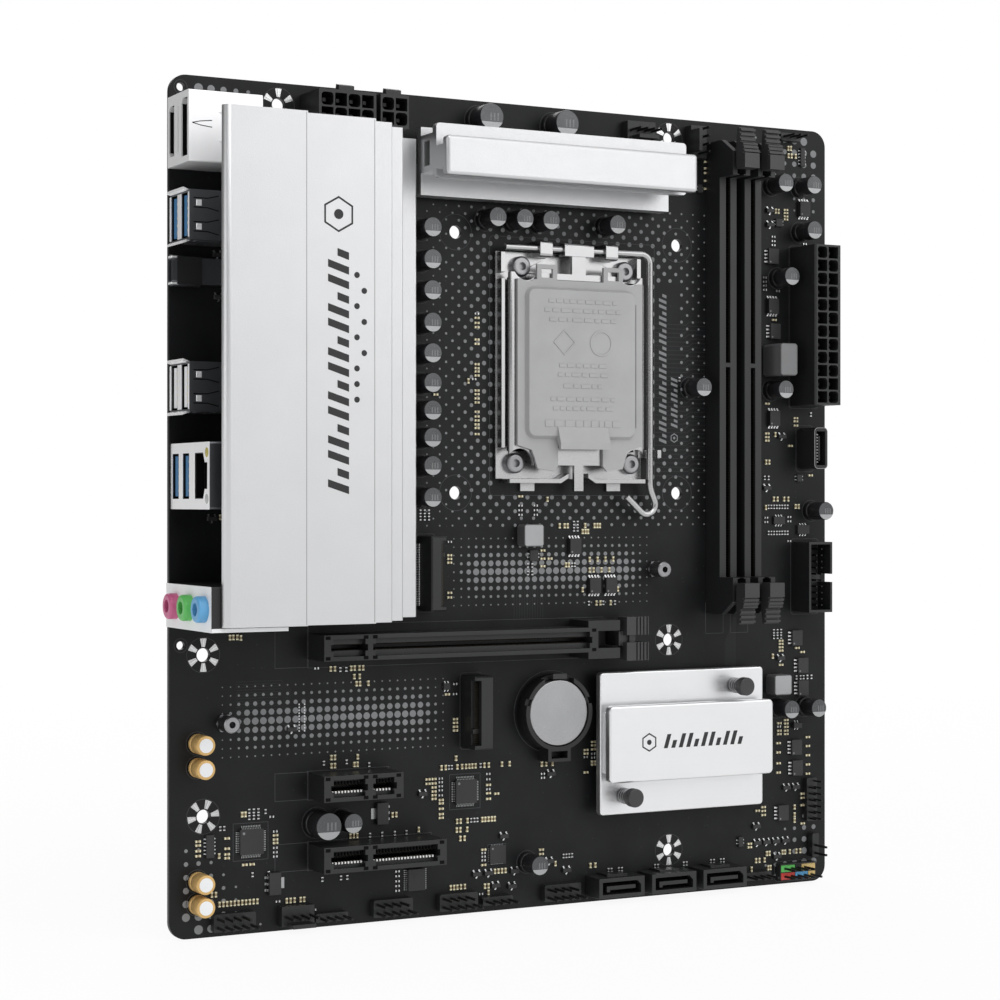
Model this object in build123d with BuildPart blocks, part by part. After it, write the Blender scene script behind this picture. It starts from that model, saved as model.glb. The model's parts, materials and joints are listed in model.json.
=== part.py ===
"""A micro-ATX motherboard, built as the separate pieces it comes apart into.

Millimetres. The board stands upright as it does in a tower case: the component side faces -Y,
the rear port edge is at -X and +Z is up. The origin is the centre of the CPU cooler's four
holes, on the rear face of the board. Inside this script places are given in board coordinates:
X from the port edge, Z from the bottom edge, and N, the height above the component side.
"""

import os

from build123d import *

# ---------------------------------------------------------------- driving dimensions
BOARD_WIDTH = 225.0
BOARD_HEIGHT = 243.84
BOARD_THICKNESS = 1.6
BOARD_CORNER_RADIUS = 5.0

SOCKET_X = 129.07
SOCKET_Z = 165.05

STANDOFF_HOLES = [(10.16, 34.29), (10.16, 80.01), (165.1, 13.97), (165.1, 80.01)]
STANDOFF_HOLES += [(33.02, 237.49), (165.1, 237.49)]
STANDOFF_HOLE_RADIUS = 1.98
COOLER_HOLE_SPACING = 78.0
COOLER_HOLE_RADIUS = 2.0
TOOLING_HOLES = [(3.4, 82.9), (3.4, 240.3)]
TOOLING_HOLE_RADIUS = 1.2

# CPU socket: screws at the four corners, lever bar across the top
SOCKET_SCREWS = [(110.9, 194.5), (147.24, 194.5), (108.75, 135.0), (149.39, 135.0)]
SOCKET_SCREW_RADIUS = 1.75
SOCKET_SCREW_HOLE_RADIUS = 2.0
FRAME_TOP = 1.3
LEVER_WIRE_RADIUS = 1.05
LEVER_BORE_RADIUS = 1.2
LEVER_AXIS_Z = 200.07
LEVER_AXIS_N = 4.6
LEVER_ARM_X = 155.26
PLATE_BOTTOM = 4.9
PLATE_TOP = 6.1

# Heatsinks
REAR_SINK_Z = (89.65, 229.66)
UPPER_SINK_X = (74.7, 160.0)
CHIPSET_SINK = (136.4, 196.3, 27.2, 71.0)
REAR_SINK_SCREWS = [(57.6, 97.0), (57.6, 160.0), (57.6, 222.0)]
UPPER_SINK_SCREWS = [(83.0, 226.0), (152.0, 226.0)]
SINK_SCREW_RADIUS = 1.45
SINK_SCREW_BORE_RADIUS = 1.5
PUSH_PINS = {"push_pin_upper": (185.1, 65.5), "push_pin_lower": (144.5, 33.0)}
PUSH_PIN_RADIUS = 1.5
PUSH_PIN_HOLE_RADIUS = 1.7
PUSH_PIN_HEAD_TOP = 14.4
PIN_PLATE_TOP = 6.5

# Memory, expansion and M.2
DIMM_SLOTS = {"inner": 182.1, "outer": 191.5}
DIMM_Z = (98.3, 226.6)
DIMM_KEY_Z = 166.4
DIMM_WIDTH = 6.4
DIMM_HEIGHT = 8.0
LATCH_TOP = 21.5
PCIE_HEIGHT = 11.25
PCIE_WIDTH = 7.5
PCIE_X16_Z = 81.5
PCIE_X1_Z = 41.2
PCIE_X4_Z = 20.8
PCIE_START_X = 42.5
PCIE_KEY_OFFSET = 13.7
M2_STANDOFFS = [(16.4, 60.5), (159.6, 102.3)]
M2_THREAD_RADIUS = 0.95
M2_STANDOFF_HEIGHT = 6.7

# Coin cell
CELL_CENTRE = (122.4, 59.3)
CELL_RADIUS = 10.0
CELL_TOP = 5.6
CELL_THICKNESS = 3.2

# Pin pitches
POWER_PITCH = 4.2
HEADER_PITCH = 2.54
SMALL_PITCH = 2.0
PIN_TOP = 8.5
HEADER_BASE = 2.5

# Tall parts scattered over the board: X, Z
LARGE_CAPACITORS = [(44.9, 30.3), (97.6, 237.9), (123.4, 237.9)]
SMALL_CAPACITORS = [(78.4, z) for z in (204.1, 194.7, 185.6, 176.1, 167.1)]
SMALL_CAPACITORS += [(78.4, z) for z in (158.4, 150.3, 142.3, 134.0, 124.7)]
SMALL_CAPACITORS += [(100.0, 208.3), (109.2, 208.3), (118.2, 208.3), (141.5, 208.3)]
SMALL_CAPACITORS += [(52.9, 30.6), (114.3, 13.9)]
SMALL_CAPACITORS += [(203.8, 225.1), (214.8, 225.1), (215.0, 210.6), (206.2, 195.4), (203.8, 159.2)]
SMALL_CAPACITORS += [(172.8, 159.2), (219.4, 120.4), (206.1, 57.0), (216.6, 57.0)]
AUDIO_CAPACITORS = [(8.3, 55.1), (8.3, 48.3), (8.3, 16.1), (8.3, 9.6)]


# ---------------------------------------------------------------- placing and shaping helpers
def face(height=0.0):
    """A plane this high above the component side. Sketches on it use board X and Z."""
    return Plane(origin=(-SOCKET_X, -BOARD_THICKNESS - height, -SOCKET_Z), x_dir=(1, 0, 0), z_dir=(0, -1, 0))


def across(x):
    """The plane at board X. Sketches on it use board Z and height N, and extrude towards +X."""
    return Plane(origin=(x - SOCKET_X, -BOARD_THICKNESS, -SOCKET_Z), x_dir=(0, 0, 1), z_dir=(1, 0, 0))


def along(z):
    """The plane at board Z. Sketches on it use board X and height N, and extrude towards -Z."""
    return Plane(origin=(-SOCKET_X, -BOARD_THICKNESS, z - SOCKET_Z), x_dir=(1, 0, 0), z_dir=(0, 0, -1))


def rect(low_u, high_u, low_v, high_v, mode=Mode.ADD):
    """A rectangle in a sketch, given by its sides."""
    with Locations(((low_u + high_u) / 2, (low_v + high_v) / 2)):
        Rectangle(high_u - low_u, high_v - low_v, mode=mode)


def block(low_x, high_x, low_z, high_z, low_n, high_n, mode=Mode.ADD):
    """A box in a part, given by its sides."""
    with BuildSketch(face(low_n)) as section:
        rect(low_x, high_x, low_z, high_z)
    extrude(section.sketch, amount=high_n - low_n, mode=mode)


def disc(x, z, radius, low_n, high_n, mode=Mode.ADD):
    """A round column standing off the board."""
    with BuildSketch(face(low_n)) as section:
        with Locations((x, z)):
            Circle(radius)
    extrude(section.sketch, amount=high_n - low_n, mode=mode)


def bar(z, n, radius, low_x, high_x, mode=Mode.ADD):
    """A round bar lying along X."""
    with BuildSketch(across(low_x)) as section:
        with Locations((z, n)):
            Circle(radius)
    extrude(section.sketch, amount=high_x - low_x, mode=mode)


def outline(plane, points, amount, mode=Mode.ADD):
    """A straight-sided outline, extruded."""
    with BuildSketch(plane) as section:
        with BuildLine():
            Polyline(*points, close=True)
        make_face()
    extrude(section.sketch, amount=amount, mode=mode)


def top_edges(part):
    """The edges around whatever stands furthest off the component side."""
    return part.faces().group_by(Axis.Y)[0].edges()


def row_edges(part, direction):
    """The straight edges of a part that run along one axis."""
    return part.edges().filter_by(direction)


def upright_edges(part, x, n):
    """The edges along Z that stand at board X and at a height above the component side."""
    found = []
    for edge in row_edges(part, Axis.Z):
        middle = edge.center()
        if abs(middle.X + SOCKET_X - x) < 0.05 and abs(middle.Y + BOARD_THICKNESS + n) < 0.05:
            found.append(edge)
    return found


def save(part, name):
    """Label a finished piece and write its file."""
    part.part.label = name
    export_step(part.part, f"parts/{name}.step")


os.makedirs("parts", exist_ok=True)


# ---------------------------------------------------------------- the board
with BuildPart() as circuit_board:
    with BuildSketch(face(-BOARD_THICKNESS)) as board_outline:
        rect(0, BOARD_WIDTH, 0, BOARD_HEIGHT)
        fillet(board_outline.vertices(), radius=BOARD_CORNER_RADIUS)
        with Locations(*STANDOFF_HOLES):
            Circle(STANDOFF_HOLE_RADIUS, mode=Mode.SUBTRACT)
        with Locations((SOCKET_X, SOCKET_Z)):
            with GridLocations(COOLER_HOLE_SPACING, COOLER_HOLE_SPACING, 2, 2):
                Circle(COOLER_HOLE_RADIUS, mode=Mode.SUBTRACT)
        with Locations(*SOCKET_SCREWS):
            Circle(SOCKET_SCREW_HOLE_RADIUS, mode=Mode.SUBTRACT)
        with Locations(*REAR_SINK_SCREWS, *UPPER_SINK_SCREWS, *PUSH_PINS.values()):
            Circle(PUSH_PIN_HOLE_RADIUS, mode=Mode.SUBTRACT)
        with Locations(*TOOLING_HOLES):
            Circle(TOOLING_HOLE_RADIUS, mode=Mode.SUBTRACT)
    extrude(amount=BOARD_THICKNESS)
save(circuit_board, "circuit_board")


# ---------------------------------------------------------------- CPU socket
HOUSING_HALF_WIDTH = 21.6
HOUSING_HALF_HEIGHT = 25.2
HOUSING_TOP = 3.6
SEAT_HALF_WIDTH = 18.85
SEAT_HALF_HEIGHT = 22.6
SEAT_FLOOR = 1.9
CONTACT_THICKNESS = 0.15

with BuildPart() as socket_housing:
    with BuildSketch(face()) as housing_outline:
        with Locations((SOCKET_X, SOCKET_Z)):
            RectangleRounded(2 * HOUSING_HALF_WIDTH, 2 * HOUSING_HALF_HEIGHT, 1.0)
    extrude(amount=HOUSING_TOP)
    with BuildSketch(face(SEAT_FLOOR)) as seat_outline:
        with Locations((SOCKET_X, SOCKET_Z)):
            RectangleRounded(2 * SEAT_HALF_WIDTH, 2 * SEAT_HALF_HEIGHT, 0.6)
    extrude(amount=HOUSING_TOP, mode=Mode.SUBTRACT)
    block(SOCKET_X - 6, SOCKET_X + 6, SOCKET_Z - 8, SOCKET_Z + 8, 0, HOUSING_TOP, Mode.SUBTRACT)
    for side in (-1, 1):
        disc(SOCKET_X + side * HOUSING_HALF_WIDTH, SOCKET_Z, 4.5, SEAT_FLOOR, HOUSING_TOP, Mode.SUBTRACT)
save(socket_housing, "socket_housing")

with BuildPart() as socket_contacts:
    with BuildSketch(face(SEAT_FLOOR)):
        with Locations((SOCKET_X, SOCKET_Z)):
            Rectangle(35.0, 42.5)
            Rectangle(13.6, 17.6, mode=Mode.SUBTRACT)
    extrude(amount=CONTACT_THICKNESS)
save(socket_contacts, "socket_contacts")

with BuildPart() as socket_frame:
    block(102.9, 153.9, 130.3, 199.0, 0, FRAME_TOP)
    block(106.9, 151.24, 138.8, 191.0, 0, FRAME_TOP, Mode.SUBTRACT)
    with BuildSketch(face()):
        with Locations(*SOCKET_SCREWS):
            Circle(SOCKET_SCREW_HOLE_RADIUS)
    extrude(amount=FRAME_TOP, mode=Mode.SUBTRACT)
    # side walls
    block(103.3, 104.6, 139.6, 190.6, FRAME_TOP, 4.4)
    block(152.7, 153.9, 139.6, 190.6, FRAME_TOP, 3.6)
    # bottom wall, split around the load plate's tongue, with its tips bent inwards
    for mirror_x in (False, True):
        tip = [(105.2, 129.0), (123.0, 129.0), (125.7, 130.6), (125.7, 132.0)]
        tip += [(122.6, 130.3), (105.2, 130.3)]
        wall = [(2 * SOCKET_X - x if mirror_x else x, z) for x, z in tip]
        outline(face(), wall, 6.0)
    for foot_x in (111.4, 141.7):
        block(foot_x, foot_x + 5.0, 126.6, 129.4, 0, 1.2)
    # two hooks that hold the lever bar
    for hook_x in (115.4, 138.4):
        block(hook_x, hook_x + 4.4, 197.4, 202.3, 0, 6.6)
        bar(LEVER_AXIS_Z, LEVER_AXIS_N, LEVER_BORE_RADIUS, hook_x - 1, hook_x + 6, Mode.SUBTRACT)
    # ears beside the upper screws
    for ear_x in (103.3, 150.9):
        block(ear_x, ear_x + 1.4, 192.4, 198.6, FRAME_TOP, 4.2)
    # hook that the lever's arm rests in
    block(153.9, 158.4, 136.9, 139.4, FRAME_TOP, 2.4)
    block(152.4, 154.4, 136.9, 139.4, 0, 2.4)
    block(157.0, 158.4, 136.9, 139.4, FRAME_TOP, 6.4)
    hook_edges = socket_frame.faces().filter_by(Axis.Y).group_by(Axis.Y)[0].edges().filter_by(Axis.X)
    fillet(hook_edges, radius=1.0)
save(socket_frame, "socket_frame")

with BuildPart() as socket_screws:
    with BuildSketch(face(FRAME_TOP)):
        with Locations(*SOCKET_SCREWS):
            Circle(3.1)
    extrude(amount=2.3)
    fillet(top_edges(socket_screws), radius=0.9)
    with BuildSketch(face(FRAME_TOP + 2.3)):
        with Locations(*SOCKET_SCREWS):
            RegularPolygon(radius=1.3, side_count=6)
            RegularPolygon(radius=1.3, side_count=6, rotation=30)
    extrude(amount=-1.3, mode=Mode.SUBTRACT)
    with BuildSketch(face(FRAME_TOP)):
        with Locations(*SOCKET_SCREWS):
            Circle(SOCKET_SCREW_RADIUS)
    extrude(amount=-(FRAME_TOP + BOARD_THICKNESS + 2.4))
save(socket_screws, "socket_screws")

BACKPLATE_THICKNESS = 2.0
with BuildPart() as socket_backplate:
    with BuildSketch(face(-BOARD_THICKNESS)) as backplate_outline:
        rect(103.6, 154.5, 129.2, 200.4)
        chamfer(backplate_outline.vertices(), length=5.0)
        rect(112.6, 145.5, 143.0, 187.0, Mode.SUBTRACT)
        with Locations(*SOCKET_SCREWS):
            Circle(4.6)
    extrude(amount=-BACKPLATE_THICKNESS)
    with BuildSketch(face(-BOARD_THICKNESS - BACKPLATE_THICKNESS)):
        with Locations(*SOCKET_SCREWS):
            Circle(3.4)
    extrude(amount=-0.8)
    with BuildSketch(face(-BOARD_THICKNESS)):
        with Locations(*SOCKET_SCREWS):
            Circle(SOCKET_SCREW_RADIUS + 0.05)
    extrude(amount=-4, mode=Mode.SUBTRACT)
save(socket_backplate, "socket_backplate")

with BuildPart() as load_plate:
    block(105.2, 152.4, 134.4, 192.5, PLATE_BOTTOM, PLATE_TOP)
    block(105.2, 106.4, 140.0, 190.2, 2.4, PLATE_TOP)
    block(151.2, 152.4, 140.0, 190.2, 2.4, PLATE_TOP)
    bend_edges = row_edges(load_plate, Axis.Z).group_by(Axis.Y)[0]
    fillet([bend_edges.sort_by(Axis.X)[0], bend_edges.sort_by(Axis.X)[-1]], radius=1.1)
    block(113.6, 144.5, 143.4, 187.6, 0, PLATE_TOP, Mode.SUBTRACT)
    block(119.0, 139.1, 189.2, 190.6, 0, PLATE_TOP + 1, Mode.SUBTRACT)
    block(SOCKET_X - 1.6, SOCKET_X + 1.6, 126.6, 134.6, PLATE_BOTTOM, PLATE_TOP)
    for notch_x in (113.6, 137.5):
        block(notch_x, notch_x + 7.0, 133.0, 138.2, 0, PLATE_TOP + 1, Mode.SUBTRACT)
    with BuildSketch(face()):
        with Locations(*SOCKET_SCREWS):
            Circle(4.4)
    extrude(amount=PLATE_TOP + 1, mode=Mode.SUBTRACT)
    # neck and sleeve that wrap the lever bar
    block(126.7, 131.5, 192.0, 199.0, PLATE_BOTTOM, PLATE_TOP)
    block(124.0, 134.2, 198.0, 202.0, 2.8, 6.5)
    sleeve_edges = load_plate.faces().group_by(Axis.Y)[0].edges().filter_by(Axis.X)
    fillet(sleeve_edges.sort_by(Axis.Z)[-1], radius=1.0)
    bar(LEVER_AXIS_Z, LEVER_AXIS_N, LEVER_BORE_RADIUS, 122, 136, Mode.SUBTRACT)
save(load_plate, "load_plate")

with BuildPart() as load_lever:
    with BuildLine(face(LEVER_AXIS_N)) as lever_route:
        cross_bar = Line((104.4, LEVER_AXIS_Z), (LEVER_ARM_X - 3.0, LEVER_AXIS_Z))
        corner = JernArc(cross_bar @ 1, cross_bar % 1, 3.0, -90)
        arm = Line(corner @ 1, (LEVER_ARM_X, 129.5))
        flare = JernArc(arm @ 1, arm % 1, 9.0, 24)
        reach = PolarLine(flare @ 1, 2.2, direction=flare % 1)
        curl = JernArc(reach @ 1, reach % 1, 3.1, -156)
        finger_end = PolarLine(curl @ 1, 7.0, direction=curl % 1)
    with BuildSketch(Plane(origin=lever_route.line @ 0, z_dir=lever_route.line % 0)):
        Circle(LEVER_WIRE_RADIUS)
    sweep()
save(load_lever, "load_lever")

COVER_BOTTOM = PLATE_TOP + 0.1
COVER_TOP = 7.2
PAD_TOP = 8.6
with BuildPart() as socket_cover:
    left_side = [(SOCKET_X, 190.4), (107.3, 190.4), (107.3, 140.4), (112.2, 139.0), (114.2, 133.4)]
    left_side += [(119.8, 132.6), (121.2, 134.2), (121.2, 141.4), (SOCKET_X, 141.4)]
    for mirror_x in (False, True):
        half = [(2 * SOCKET_X - x if mirror_x else x, z) for x, z in left_side]
        outline(face(COVER_BOTTOM), half, COVER_TOP - COVER_BOTTOM)
    with BuildSketch(face()):
        with Locations(*SOCKET_SCREWS):
            Circle(4.7)
    extrude(amount=COVER_TOP, mode=Mode.SUBTRACT)
    # finger arches at the top
    for arch_x in (114.0, 137.2):
        block(arch_x, arch_x + 6.9, 188.0, 195.0, COVER_BOTTOM, COVER_TOP)
        block(arch_x + 1.5, arch_x + 5.4, 191.0, 193.7, 0, COVER_TOP, Mode.SUBTRACT)
    # raised pad
    with BuildSketch(face(COVER_TOP)):
        with Locations((SOCKET_X, 165.3)):
            RectangleRounded(38.6, 45.8, 3.0)
    extrude(amount=PAD_TOP - COVER_TOP, taper=30)
    fillet(top_edges(socket_cover), radius=0.4)
    # overhanging grip
    grip = [(146.0, 7.0), (146.0, 8.8), (141.2, 10.6), (139.2, 10.6), (139.2, 9.6)]
    grip += [(141.4, 8.6), (142.6, 7.0)]
    outline(across(120.3), grip, 17.4)
    # clips that reach down into the load plate's window
    for clip_x in (113.8, 142.5):
        block(clip_x, clip_x + 1.8, 158.0, 172.0, 5.0, COVER_TOP)
save(socket_cover, "socket_cover")


# ---------------------------------------------------------------- heatsinks
with BuildPart() as rear_heatsink:
    with BuildSketch(along(REAR_SINK_Z[1])) as rear_profile:
        with BuildLine():
            shell = [(1.9, 36.0), (1.9, 38.0), (26.1, 38.0), (26.1, 36.4), (26.6, 36.4), (26.6, 35.0)]
            shell += [(47.8, 35.0), (47.8, 33.4), (48.3, 33.4), (48.3, 30.7), (54.9, 30.7), (54.9, 24.0)]
            shell += [(61.4, 24.0), (61.4, 7.3), (73.7, 7.3), (73.7, 2.6), (61.8, 2.6), (61.8, 6.4)]
            shell += [(52.6, 6.4), (52.6, 9.4), (36.0, 9.4), (36.0, 32.6), (24.0, 32.6), (24.0, 36.0)]
            Polyline(*shell, close=True)
        make_face()
        soft_corners = rear_profile.vertices().group_by(Axis.X)[0].sort_by(Axis.Y)[-1:]
        fillet(soft_corners, radius=1.9)
    extrude(amount=REAR_SINK_Z[1] - REAR_SINK_Z[0])
    # cooling channels through the block
    for channel_x, channel_n in ((39.0, 29.0), (44.5, 29.0), (50.0, 25.0)):
        with BuildSketch(along(REAR_SINK_Z[1] + 1)):
            rect(channel_x, channel_x + 3.0, 14.0, channel_n)
        extrude(amount=REAR_SINK_Z[1] - REAR_SINK_Z[0] + 2, mode=Mode.SUBTRACT)
    # eased corners of the outer steps
    for step_x, step_n in ((54.9, 30.7), (54.9, 24.0), (61.4, 24.0), (61.4, 7.3), (73.7, 7.3)):
        fillet(upright_edges(rear_heatsink, step_x, step_n), radius=0.5)
    for x, z in REAR_SINK_SCREWS:
        disc(x, z, 3.2, 0, 7.0)
        disc(x, z, SINK_SCREW_BORE_RADIUS, 0, 7.6, Mode.SUBTRACT)
save(rear_heatsink, "rear_heatsink")

with BuildPart() as upper_heatsink:
    sink_length = UPPER_SINK_X[1] - UPPER_SINK_X[0]
    with BuildSketch(across(UPPER_SINK_X[0])) as upper_profile:
        rect(213.3, 233.2, 5.6, 8.0)
        rect(213.3, 222.6, 2.6, 5.8)
        rect(219.5, 230.5, 7.8, 15.9)
        rect(217.2, 233.1, 15.7, 18.2)
        rect(219.8, 226.4, 18.0, 22.7)
        rect(217.3, 228.8, 22.6, 25.1)
    extrude(amount=sink_length)
    fillet(row_edges(upper_heatsink, Axis.X).group_by(Axis.Y)[0], radius=1.1)
    # rounded plate corners at both ends
    plate_corners = row_edges(upper_heatsink, Axis.Y)
    plate_bottom = -BOARD_THICKNESS - 15.8
    fillet([e for e in plate_corners if e.center().Y < plate_bottom and e.length < 2.6], radius=1.2)
    with BuildSketch(across(UPPER_SINK_X[0] - 1)):
        rect(221.3, 228.6, 10.2, 13.8)
    extrude(amount=sink_length + 2, mode=Mode.SUBTRACT)
    for x, z in UPPER_SINK_SCREWS:
        disc(x, z, 3.0, 0, 5.8)
        disc(x, z, SINK_SCREW_BORE_RADIUS, 0, 7.0, Mode.SUBTRACT)
save(upper_heatsink, "upper_heatsink")

with BuildPart() as chipset_heatsink:
    low_x, high_x, low_z, high_z = CHIPSET_SINK
    block(low_x, high_x, low_z, high_z, 4.1, PIN_PLATE_TOP)
    fillet(row_edges(chipset_heatsink, Axis.Y), radius=1.2)
    fillet(top_edges(chipset_heatsink), radius=0.5)
    with BuildSketch(across(low_x + 1.2)):
        rect(40.2, 58.6, 6.0, 10.0)
    extrude(amount=high_x - low_x - 2.4)
    with BuildSketch(face(9.8)):
        with Locations(((low_x + high_x) / 2, 49.35)):
            RectangleRounded(high_x - low_x, 23.5, 1.6)
    extrude(amount=2.5)
    fillet(top_edges(chipset_heatsink), radius=0.7)
    block(152.0, 180.0, 36.0, 62.0, 3.2, 4.2)
    with BuildSketch(face(4.1)):
        with Locations(*PUSH_PINS.values()):
            Circle(PUSH_PIN_HOLE_RADIUS)
    extrude(amount=3, mode=Mode.SUBTRACT)
save(chipset_heatsink, "chipset_heatsink")

with BuildPart() as chipset:
    block(155.0, 177.0, 38.5, 59.5, 0.3, 1.4)
    block(160.5, 171.5, 44.0, 54.0, 1.4, 2.2)
    with BuildSketch(face()):
        with Locations((166.0, 49.0)):
            with GridLocations(3.0, 3.0, 7, 7):
                Circle(0.4)
    extrude(amount=0.3)
save(chipset, "chipset")

# Rows of power stages and chokes beside the two power heatsinks
REAR_PHASES = [100.0 + 12.4 * i for i in range(10)]
UPPER_PHASES = [91.0 + 11.2 * i for i in range(6)]

with BuildPart() as thermal_pads:
    block(62.0, 73.2, 92.0, 228.0, 1.6, 2.6)
    block(87.2, 148.0, 213.8, 222.0, 1.6, 2.6)
    block(159.5, 172.5, 43.0, 55.0, 2.2, 3.2)
save(thermal_pads, "thermal_pads")

with BuildPart() as power_stages:
    with BuildSketch(face()):
        with Locations(*[(68.0, z) for z in REAR_PHASES]):
            Rectangle(6.0, 5.0)
        with Locations(*[(x, 218.0) for x in UPPER_PHASES]):
            Rectangle(5.0, 6.0)
    extrude(amount=1.6)
save(power_stages, "power_stages")

with BuildPart() as heatsink_screws:
    all_sink_screws = REAR_SINK_SCREWS + UPPER_SINK_SCREWS
    with BuildSketch(face(-BOARD_THICKNESS)):
        with Locations(*all_sink_screws):
            Circle(2.9)
    extrude(amount=-1.9)
    head_edges = heatsink_screws.faces().group_by(Axis.Y)[-1].edges()
    fillet(head_edges, radius=0.8)
    with BuildSketch(face(-BOARD_THICKNESS - 1.9)):
        with Locations(*all_sink_screws):
            Rectangle(2.6, 0.7)
            Rectangle(0.7, 2.6)
    extrude(amount=1.0, mode=Mode.SUBTRACT)
    with BuildSketch(face(-BOARD_THICKNESS)):
        with Locations(*all_sink_screws):
            Circle(SINK_SCREW_RADIUS)
    extrude(amount=BOARD_THICKNESS + 4.6)
save(heatsink_screws, "heatsink_screws")

HEAD_UNDERSIDE = PUSH_PIN_HEAD_TOP - 2.6
SPRING_WIRE = 0.28
SPRING_RADIUS = 2.15
OUTWARDS = (0, -1, 0)
for name, (pin_x, pin_z) in PUSH_PINS.items():
    with BuildPart() as push_pin:
        disc(pin_x, pin_z, 2.85, HEAD_UNDERSIDE, PUSH_PIN_HEAD_TOP)
        fillet(top_edges(push_pin), radius=0.5)
        disc(pin_x, pin_z, PUSH_PIN_RADIUS, -BOARD_THICKNESS - 0.2, HEAD_UNDERSIDE)
        with BuildSketch(face(-BOARD_THICKNESS - 0.2)):
            with Locations((pin_x, pin_z)):
                Circle(2.1)
        extrude(amount=-2.6, taper=24)
        block(pin_x - 0.3, pin_x + 0.3, pin_z - 3, pin_z + 3, -5, -BOARD_THICKNESS - 0.2, Mode.SUBTRACT)
    save(push_pin, name)

    spring_length = HEAD_UNDERSIDE - PIN_PLATE_TOP - 2 * SPRING_WIRE - 0.04
    centre = face(PIN_PLATE_TOP + SPRING_WIRE + 0.02).from_local_coords((pin_x, pin_z, 0))
    with BuildPart() as push_pin_spring:
        with BuildLine():
            pitch = spring_length / 4
            coil = Helix(pitch, spring_length, SPRING_RADIUS, center=centre, direction=OUTWARDS)
        with BuildSketch(Plane(origin=coil @ 0, z_dir=coil % 0)):
            Circle(SPRING_WIRE)
        sweep(is_frenet=True)
    save(push_pin_spring, name.replace("push_pin", "pin_spring"))


# ---------------------------------------------------------------- coin cell
CELL_X, CELL_Z = CELL_CENTRE
with BuildPart() as battery_holder:
    disc(CELL_X, CELL_Z, 11.5, 0, 6.0)
    block(CELL_X - 3.9, CELL_X + 3.9, CELL_Z - 14.8, CELL_Z, 0, 6.0)
    disc(CELL_X, CELL_Z, CELL_RADIUS + 0.25, 1.4, 6.0, Mode.SUBTRACT)
    block(CELL_X - 2.8, CELL_X + 2.8, CELL_Z - 13.8, CELL_Z - 11.6, 1.4, 6.0, Mode.SUBTRACT)
    block(CELL_X - 5.0, CELL_X + 5.0, CELL_Z + 8, CELL_Z + 12, 3.2, 6.0, Mode.SUBTRACT)
    block(CELL_X - 14, CELL_X + 14, CELL_Z + 2.5, CELL_Z + 4.5, 4.4, 6.0, Mode.SUBTRACT)
save(battery_holder, "battery_holder")

with BuildPart() as battery_clip:
    block(CELL_X - 2.4, CELL_X + 2.4, CELL_Z + 10.35, CELL_Z + 10.8, 3.2, 6.3)
    block(CELL_X - 2.4, CELL_X + 2.4, CELL_Z + 10.35, CELL_Z + 11.9, 5.9, 6.3)
save(battery_clip, "battery_clip")

with BuildPart() as coin_cell:
    cell_bottom = CELL_TOP - CELL_THICKNESS
    disc(CELL_X, CELL_Z, CELL_RADIUS, cell_bottom + 0.5, CELL_TOP)
    fillet(top_edges(coin_cell), radius=0.35)
    disc(CELL_X, CELL_Z, CELL_RADIUS - 1.3, cell_bottom, cell_bottom + 0.5)
save(coin_cell, "coin_cell")


# ---------------------------------------------------------------- memory slots
LATCH_PIVOT_N = 4.5
for name, slot_x in DIMM_SLOTS.items():
    half = DIMM_WIDTH / 2
    low_z, high_z = DIMM_Z
    with BuildPart() as dimm_slot:
        block(slot_x - half, slot_x + half, low_z, high_z, 0, DIMM_HEIGHT)
        for base_z, way in ((low_z, -1), (high_z, 1)):
            # tower at the slot's end, then the channel that its latch swings in
            tower = [(-1.4, 0), (10.3, 0), (10.3, 9.0), (6.0, 15.6), (-1.4, 15.6)]
            outline(across(slot_x - half), [(base_z + way * u, n) for u, n in tower], DIMM_WIDTH)
            channel = sorted((base_z - way * 1.0, base_z + way * 20))
            block(slot_x - 1.5, slot_x + 1.5, channel[0], channel[1], 1.4, 17, Mode.SUBTRACT)
        block(slot_x - 0.8, slot_x + 0.8, low_z - 1, DIMM_KEY_Z - 0.7, 1.6, 17, Mode.SUBTRACT)
        block(slot_x - 0.8, slot_x + 0.8, DIMM_KEY_Z + 0.7, high_z + 1, 1.6, 17, Mode.SUBTRACT)
    save(dimm_slot, f"dimm_slot_{name}")

    for end, base_z, way in (("lower", low_z, -1), ("upper", high_z, 1)):
        # profile of the latch, as distance outwards from the slot's end, and height
        stem = [(1.6, 2.0), (5.6, 2.0), (6.4, 3.2), (6.4, 8.0), (7.6, 15.6), (8.4, 16.8)]
        stem += [(1.0, 16.8), (1.0, 12.0), (2.2, 10.6), (1.6, 8.0)]
        grip = [(0.2, 17.0), (0.2, LATCH_TOP), (4.4, LATCH_TOP), (7.9, LATCH_TOP - 1.0)]
        grip += [(8.4, 18.9), (13.0, 18.3), (13.0, 17.2), (8.6, 16.6), (2.0, 16.6)]
        with BuildPart() as latch:
            outline(across(slot_x - 1.3), [(base_z + way * u, n) for u, n in stem], 2.6)
            outline(across(slot_x - 2.7), [(base_z + way * u, n) for u, n in grip], 5.4)
            # thumb ribs
            for rib in range(3):
                offset = 4.9 + 1.15 * rib
                centre_z = base_z + way * offset
                block(slot_x - 3, slot_x + 3, centre_z - 0.2, centre_z + 0.2, 20.3, 22, Mode.SUBTRACT)
            for rib in range(3):
                centre_z = base_z + way * (9.2 + 1.5 * rib)
                block(slot_x - 2.7, slot_x + 2.7, centre_z - 0.35, centre_z + 0.35, 18.2, 19.3)
        save(latch, f"dimm_latch_{name}_{end}")


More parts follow.
